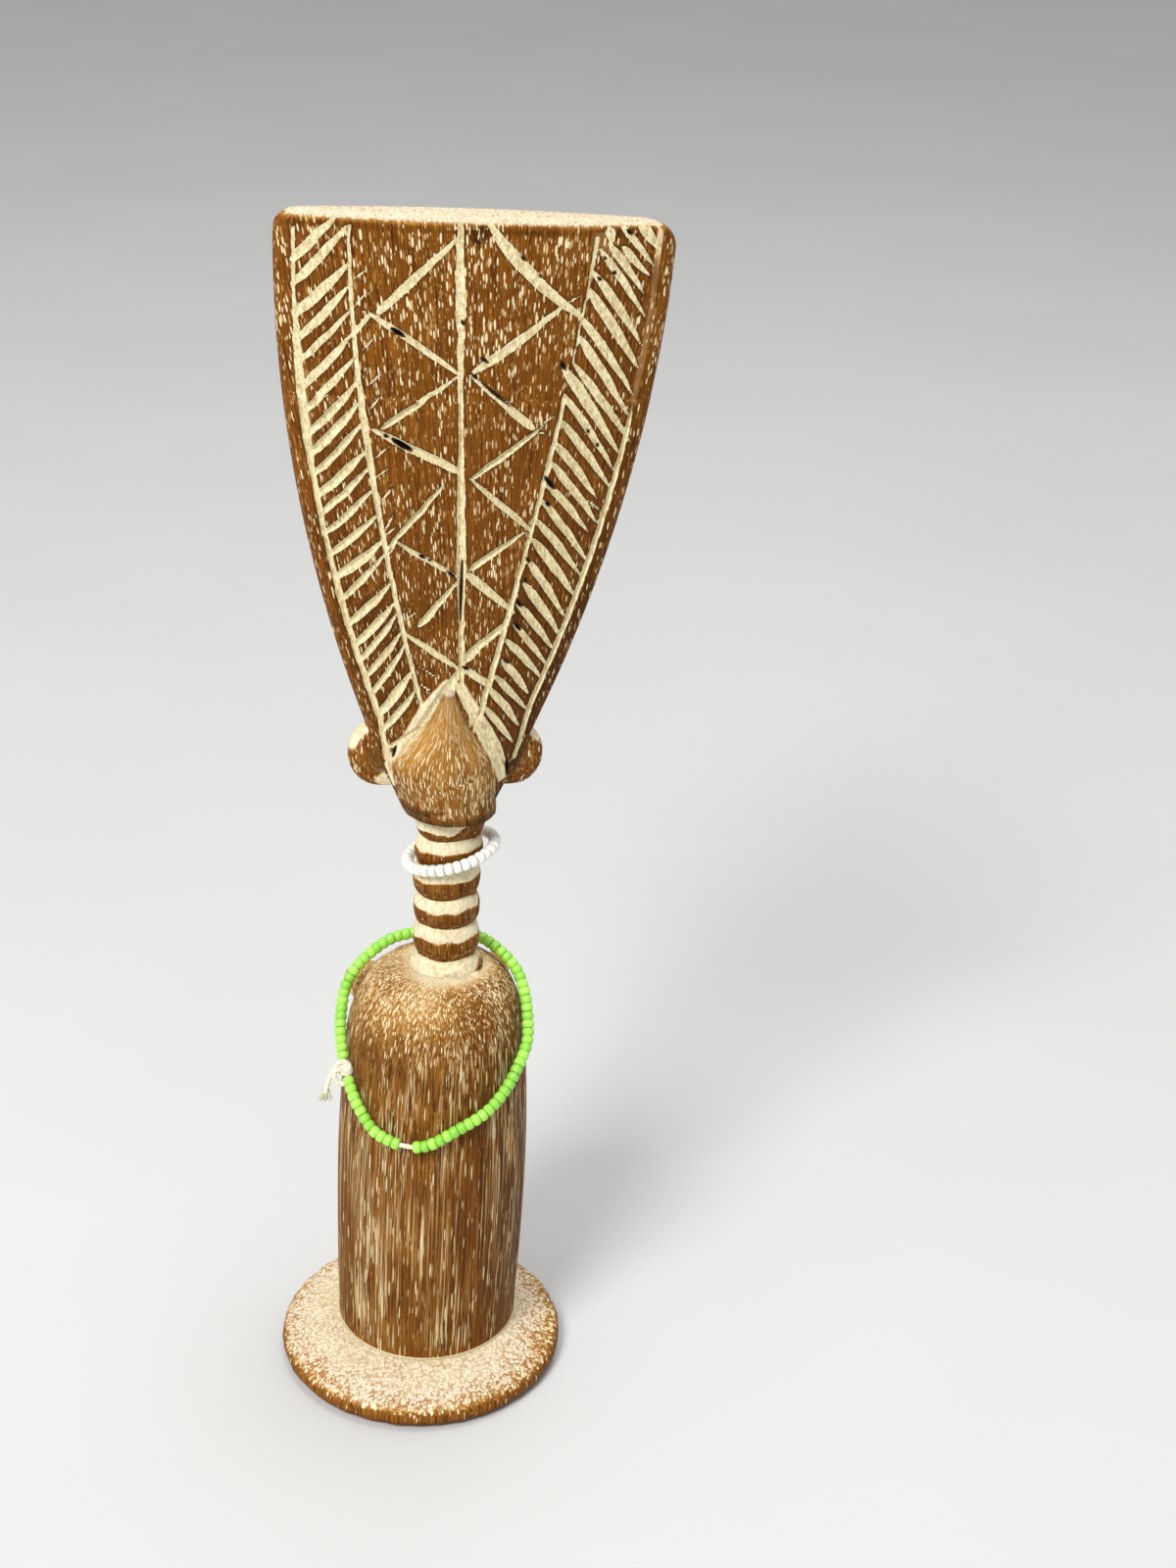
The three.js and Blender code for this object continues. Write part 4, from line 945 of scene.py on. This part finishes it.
def bead_tree(material):
    """Geometry nodes that thread round glass beads on a line of points."""
    tree = bpy.data.node_groups.new("threaded_beads", "GeometryNodeTree")
    face = tree.interface
    face.new_socket("Thread line", in_out="INPUT", socket_type="NodeSocketGeometry")
    for label, kind in (("Beads", "Int"), ("Ring radius", "Float"), ("Wall", "Float"),
                        ("Half length", "Float"), ("Seed", "Int")):
        face.new_socket(label, in_out="INPUT", socket_type="NodeSocket" + kind)
    face.new_socket("Beads on the line", in_out="OUTPUT", socket_type="NodeSocketGeometry")

    def add(kind, settings=None, **values):
        made = tree.nodes.new(kind)
        for key, value in (settings or {}).items():
            setattr(made, key, value)
        for key, value in values.items():
            socket = next(s for s in made.inputs if s.identifier == key.replace("_x_", " "))
            if isinstance(value, bpy.types.NodeSocket):
                tree.links.new(value, socket)
            else:
                socket.default_value = value
        return made.outputs

    given = tree.nodes.new("NodeGroupInput").outputs
    curve = add("GeometryNodeMeshToCurve", Mesh=given["Thread line"])["Curve"]
    spots = add("GeometryNodeCurveToPoints", {"mode": "COUNT"}, Curve=curve, Count=given["Beads"])
    ring = add("GeometryNodeCurvePrimitiveCircle", {"mode": "RADIUS"}, Resolution=16,
               Radius=given["Ring radius"])
    flat = add("GeometryNodeSetCurveNormal", {"mode": "Z_UP"}, Curve=ring["Curve"])["Curve"]
    wall = add("GeometryNodeCurvePrimitiveCircle", {"mode": "RADIUS"}, Resolution=10, Radius=1.0)
    size = add("ShaderNodeCombineXYZ", X=given["Wall"], Y=given["Half length"], Z=1.0)["Vector"]
    oval = add("GeometryNodeTransform", Geometry=wall["Curve"], Scale=size)["Geometry"]
    bead = add("GeometryNodeCurveToMesh", Curve=flat, Profile_x_Curve=oval)["Mesh"]
    stretch = add("FunctionNodeRandomValue", {"data_type": "FLOAT_VECTOR"}, Min=(0.985, 0.985, 0.95),
                  Max=(1.015, 1.015, 1.02), Seed=given["Seed"])["Value"]
    placed = add("GeometryNodeInstanceOnPoints", Points=spots["Points"], Instance=bead,
                 Rotation=spots["Rotation"], Scale=stretch)["Instances"]
    tilt = add("FunctionNodeRandomValue", {"data_type": "FLOAT_VECTOR"}, Min=(-0.05, -0.05, -3.0),
               Max=(0.05, 0.05, 3.0), Seed=given["Seed"])["Value"]
    tilted = add("GeometryNodeRotateInstances", Instances=placed, Rotation=tilt)["Instances"]
    chances = add("FunctionNodeRandomValue", {"data_type": "FLOAT"}, Seed=given["Seed"])
    chance = next(socket for socket in chances if socket.identifier == "Value_001")
    marked = add("GeometryNodeStoreNamedAttribute", {"data_type": "FLOAT", "domain": "INSTANCE"},
                 Geometry=tilted, Name="shade", Value=chance)["Geometry"]
    real = add("GeometryNodeRealizeInstances", Geometry=marked)["Geometry"]
    smooth = add("GeometryNodeSetShadeSmooth", Geometry=real)["Geometry"]
    dressed = add("GeometryNodeSetMaterial", Geometry=smooth, Material=material)["Geometry"]
    tree.links.new(dressed, tree.nodes.new("NodeGroupOutput").inputs[0])
    return tree


def threaded(name, line, beads, tree, material, seed):
    """Beads spaced evenly along a line, as one plain mesh."""
    mesh = bpy.data.meshes.new(name)
    mesh.from_pydata((line * MM).tolist(), [(i, i + 1) for i in range(len(line) - 1)], [])
    made = put(name, mesh)
    string = made.modifiers.new("beads", "NODES")
    string.node_group = tree
    sizes = {"Beads": beads, "Ring radius": (BEAD_RADIUS - BEAD_WALL) * MM, "Wall": BEAD_WALL * MM,
             "Half length": 1.02 * MM, "Seed": seed}
    for item in tree.interface.items_tree:
        if item.in_out == "INPUT" and item.name in sizes:
            string[item.identifier] = sizes[item.name]
    made.data = bpy.data.meshes.new_from_object(made.evaluated_get(bpy.context.evaluated_depsgraph_get()))
    made.modifiers.clear()
    made.data.name = name
    made.data.materials.clear()
    made.data.materials.append(material)
    return made


green_glass = bead_finish("lime_green_glass", (0.27, 0.66, 0.055, 1), (0.42, 0.88, 0.10, 1))
green_tree = bead_tree(green_glass)
green_route = smooth_line([
    (-19.0, -6.6, 87.5), (-18.1, -9.8, 84.4), (-16.8, -12.6, 81.9), (-13.7, -16.7, 77.9), (-9.3, -20.1, 76.4),
    (-6.9, -21.4, 76.2), (-4.6, -22.3, 76.2), (-1.3, -23.1, 77.0), (5.1, -23.3, 80.5), (12.6, -21.5, 83.8),
    (18.2, -18.2, 88.1), (21.3, -15.4, 91.9), (24.5, -10.6, 96.2), (25.2, -5.3, 103.0), (24.9, -2.3, 106.0),
    (23.8, 1.4, 109.2), (21.4, 4.3, 111.9), (19.2, 6.5, 113.4), (16.0, 9.9, 114.5), (11.5, 12.6, 115.2),
    (6.0, 13.6, 115.3), (-0.4, 13.4, 115.0), (-5.4, 13.0, 114.2), (-8.6, 12.6, 112.6), (-11.5, 11.6, 110.8),
    (-14.2, 10.4, 108.8), (-16.3, 9.4, 106.3), (-18.0, 8.0, 103.0), (-19.0, 5.6, 99.4), (-19.7, 2.0, 96.3),
    (-19.8, -1.0, 93.4), (-19.6, -3.6, 90.9),
])
green_length = length_of(green_route)
# The beads have drifted apart at the front, and the thread is bare between these two places
bare_ends = [np.argmin(np.linalg.norm(green_route - place, axis=1))
             for place in ((-8.3, -20.7, 76.3), (-5.1, -22.1, 76.2))]
bare_start, bare_end = distances(green_route)[bare_ends]
short_run = piece_of(green_route, BEAD_GAP, bare_start - BEAD_GAP)
long_run = piece_of(green_route, bare_end + BEAD_GAP, green_length - BEAD_GAP)
short_count = round(length_of(short_run) / BEAD_PITCH) + 1
long_count = round(length_of(long_run) / BEAD_PITCH) + 1
green_short = threaded("green_beads_short", short_run, short_count, green_tree, green_glass, 3)
green_long = threaded("green_beads_long", long_run, long_count, green_tree, green_glass, 4)
for piece, node in ((green_short, "green_beads_short_run"), (green_long, "green_beads_long_run")):
    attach(piece, "root")
    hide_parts(node)

# The knot's loop, and the tail that wraps it once and hangs down
loop = [(-19.6, -5.4, 89.3), (-20.9, -5.8, 89.6), (-22.2, -6.5, 89.0), (-22.1, -7.1, 87.6),
        (-20.9, -7.6, 86.4), (-19.6, -7.5, 86.5), (-19.0, -6.9, 87.1)]
tail = [(-19.7, -4.6, 90.0), (-19.6, -5.4, 88.7), (-18.9, -6.2, 88.9), (-19.0, -5.6, 90.6),
        (-20.2, -5.3, 91.3), (-21.4, -5.6, 90.6), (-22.5, -6.1, 89.3), (-23.5, -6.6, 87.4),
        (-24.1, -7.0, 85.6), (-24.6, -7.2, 83.6), (-24.9, -7.3, 82.3)]
green_thread_line = even(np.concatenate([
    smooth_line(loop)[:-1], green_route, smooth_line([green_route[-1], *tail])[1:]]), THREAD_STEP)


def thread_finish(name):
    """Matt cotton, with painted shade between its plies, and soiled in places."""
    cotton = Finish(name)
    place = cotton.node("ShaderNodeTexCoord", None, out=3)
    ply = cotton.mark("ply")
    fuzz = cotton.noise(place, 2600.0, 3.0, 0.7)
    soil = cotton.noise(place, 260.0, 2.0)
    # Painted shade: the thread darkens in the grooves between its plies
    colour = cotton.colours(cotton.between(ply + (fuzz - 0.5) * 0.7, 0.05, 0.75),
                            (0.70, 0.62, 0.42, 1), (0.92, 0.87, 0.68, 1))
    colour = cotton.colours(cotton.between(soil, 0.5, 0.8) * 0.25, colour, (0.66, 0.54, 0.34, 1))
    return cotton.close(Base_Color=colour, Roughness=0.9, Sheen_Weight=0.25,
                        Normal=cotton.bump(0.12 * fuzz, 0.8))


def twisted(name, line, material, frays=0, blob=None):
    """Three-ply cotton thread. Blob is a knot's middle and size, frays the number of loose end fibres."""
    sides = 12
    along = np.gradient(line, axis=0)
    along /= np.linalg.norm(along, axis=1)[:, None]
    side = np.array([0.31, 0.17, 0.93])
    angle = np.linspace(0, 2 * math.pi, sides, endpoint=False)
    places, plies = [], []
    distance = 0.0
    for i, (centre, way) in enumerate(zip(line, along)):
        side = side - way * side.dot(way)
        side /= np.linalg.norm(side)
        up = np.cross(way, side)
        if i:
            distance += float(np.linalg.norm(line[i] - line[i - 1]))
        lobe = np.cos(3 * (angle - distance * 1.5))
        reach = THREAD / 2 * (0.98 + 0.06 * lobe)
        if blob is not None:
            near = math.exp(-(np.linalg.norm(centre - blob[0]) / blob[1]) ** 2)
            reach = reach * (1 + 1.5 * near)
        if frays:
            reach = reach * (1 - 0.55 * max(0.0, 1 - (len(line) - 1 - i) / 5))
        sideways, upwards = (reach * np.cos(angle))[:, None], (reach * np.sin(angle))[:, None]
        places.append(centre + side * sideways + up * upwards)
        plies.append(0.5 + 0.5 * lobe)
    tube = Part(np.array(places))
    points, faces = tube.places.tolist(), list(tube.faces)
    ply = np.concatenate([np.array(plies).ravel(), [0.3, 0.3]]).tolist()
    rng = np.random.default_rng(12)
    for _ in range(frays):
        base = line[-6] + rng.normal(size=3) * 0.2
        way = along[-1] + np.clip(rng.normal(size=3) * 0.3, -0.5, 0.5)
        way /= np.linalg.norm(way)
        bend = np.clip(rng.normal(size=3) * 0.25, -0.4, 0.4)
        long = rng.uniform(2.2, 3.1)
        first = len(points)
        for j in range(FIBRE_STEPS + 1):
            f = j / FIBRE_STEPS
            middle = base + way * long * f + bend * f * f + np.array([0, 0, -0.25]) * f * f
            thick = FIBRE_RADIUS * (1 - 0.55 * f)
            for a in (0, 2.09, 4.19):
                points.append((middle + thick * (side * math.cos(a) + up * math.sin(a))).tolist())
                ply.append(rng.uniform(0.4, 1.0))
        for j in range(FIBRE_STEPS):
            for a in range(3):
                p, q = first + j * 3 + a, first + j * 3 + (a + 1) % 3
                faces.append((p, q, q + 3, p + 3))
        tip = first + FIBRE_STEPS * 3
        faces += [(first + 2, first + 1, first), (tip, tip + 1, tip + 2)]
    mesh = bpy.data.meshes.new(name)
    mesh.from_pydata((np.array(points) * MM).tolist(), [], faces)
    mesh.attributes.new("ply", "FLOAT", "POINT").data.foreach_set("value", ply)
    mesh.polygons.foreach_set("use_smooth", [True] * len(mesh.polygons))
    mesh.materials.append(material)
    return put(name, mesh)


cotton = thread_finish("undyed_cotton_thread")
green_thread = twisted("green_string_thread", green_thread_line, cotton, frays=84,
                       blob=(np.array([-19.3, -5.5, 89.0]), 1.7))
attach(green_thread, "root")
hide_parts("green_thread_bare_stretch", "green_thread_tie")

# White bead string
# A short ring of opaque white glass seed beads on the same cotton, tied behind. It lies tilted round
# the second ring of the neck, lower at the left.
white_turn = np.radians(96 + np.linspace(0, 348, 120))
white_route = np.stack([7.4 + 10.4 * np.cos(white_turn), 2.0 + 9.5 * np.sin(white_turn),
                        143.5 + 2.5 * np.cos(white_turn) - 0.4 * np.sin(white_turn)], 1)
white_length = length_of(white_route)
white_line = piece_of(white_route, BEAD_GAP, white_length - BEAD_GAP)
white_glass = bead_finish("opaque_white_glass", (0.87, 0.86, 0.75, 1), (0.97, 0.96, 0.89, 1))
white_beads = threaded("white_bead_ring", white_line, round(length_of(white_line) / BEAD_PITCH) + 1,
                       bead_tree(white_glass), white_glass, 9)
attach(white_beads, "root")
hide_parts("white_beads")
gap = (white_route[0] + white_route[-1]) / 2
knot_start = [gap + (0.2, 0.3, 0.5), gap + (-0.3, 0.1, -0.1), white_route[0]]
knot_end = [white_route[-1], gap + (0.3, 0.1, -0.1), gap + (0.0, 0.5, 0.4), gap + (-0.2, 0.9, -0.2)]
white_thread_line = even(np.concatenate([
    smooth_line(knot_start)[:-1], white_route, smooth_line(knot_end)[1:]]), THREAD_STEP)
white_thread = twisted("white_string_thread", white_thread_line, cotton)
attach(white_thread, "root")
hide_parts("white_thread_tie")

# Table, lights and camera
# The doll stands on a plain pale surface in soft light from above and the left.
floor_finish = Finish("pale_floor")
floor_place = floor_finish.node("ShaderNodeTexCoord", None, out=3)
floor_tone = floor_finish.noise(floor_place, 6.0, 3.0)
floor_grey = floor_finish.colours(floor_tone, (0.60, 0.60, 0.59, 1), (0.66, 0.66, 0.65, 1))
pale_floor = floor_finish.close(Base_Color=floor_grey, Roughness=0.8)
floor_mesh = bpy.data.meshes.new("floor")
floor_mesh.from_pydata([(-6, -6, 0), (6, -6, 0), (6, 6, 0), (-6, 6, 0)], [], [(0, 1, 2, 3)])
floor_mesh.materials.append(pale_floor)
floor = put("floor", floor_mesh)
floor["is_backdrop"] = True

world = bpy.data.worlds.new("soft_room")
bpy.context.scene.world = world
world.use_nodes = True
background = world.node_tree.nodes["Background"].inputs
background["Color"].default_value, background["Strength"].default_value = (1, 1, 1, 1), 0.50


def lamp(name, place, aim, size, power):
    """A round soft lamp at a place, turned towards the aim."""
    light = bpy.data.lights.new(name, "AREA")
    light.shape, light.size, light.energy = "DISK", size, power
    made = put(name, light)
    made.location = place
    made.rotation_euler = (Vector(aim) - Vector(place)).to_track_quat("-Z", "Y").to_euler()


lamp("window_light", (-0.75, -0.85, 1.25), (0, 0, 0.15), 0.6, 22)
lamp("ceiling_light", (0.25, 0.2, 1.5), (0, 0, 0.1), 0.9, 9)

CAMERA_PLACE = (-0.06874, -0.48911, 0.40631)
FOCAL_PIXELS, PHOTO_HEIGHT, SENSOR_HEIGHT = 2404, 1600, 24
HEADING, PITCH, ROLL = (math.radians(a) for a in (12.509, 26.2, 1.994))
level_reach = math.cos(PITCH)
forward = Vector((math.sin(HEADING) * level_reach, math.cos(HEADING) * level_reach, -math.sin(PITCH)))
rightward = Vector((math.cos(HEADING), -math.sin(HEADING), 0))
downward = forward.cross(rightward)
turned_right = math.cos(ROLL) * rightward - math.sin(ROLL) * downward
turned_down = math.sin(ROLL) * rightward + math.cos(ROLL) * downward
view = bpy.data.cameras.new("photo_view")
view.sensor_fit, view.sensor_height = "VERTICAL", SENSOR_HEIGHT
view.lens = FOCAL_PIXELS / PHOTO_HEIGHT * SENSOR_HEIGHT
view.clip_start, view.clip_end = 0.02, 30
camera = put("photo_view", view)
camera.matrix_world = Matrix.Translation(CAMERA_PLACE) @ Matrix(
    (turned_right, -turned_down, -forward)).transposed().to_4x4()
bpy.context.scene.camera = camera
bpy.context.scene.view_settings.view_transform = "Standard"

low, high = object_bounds()
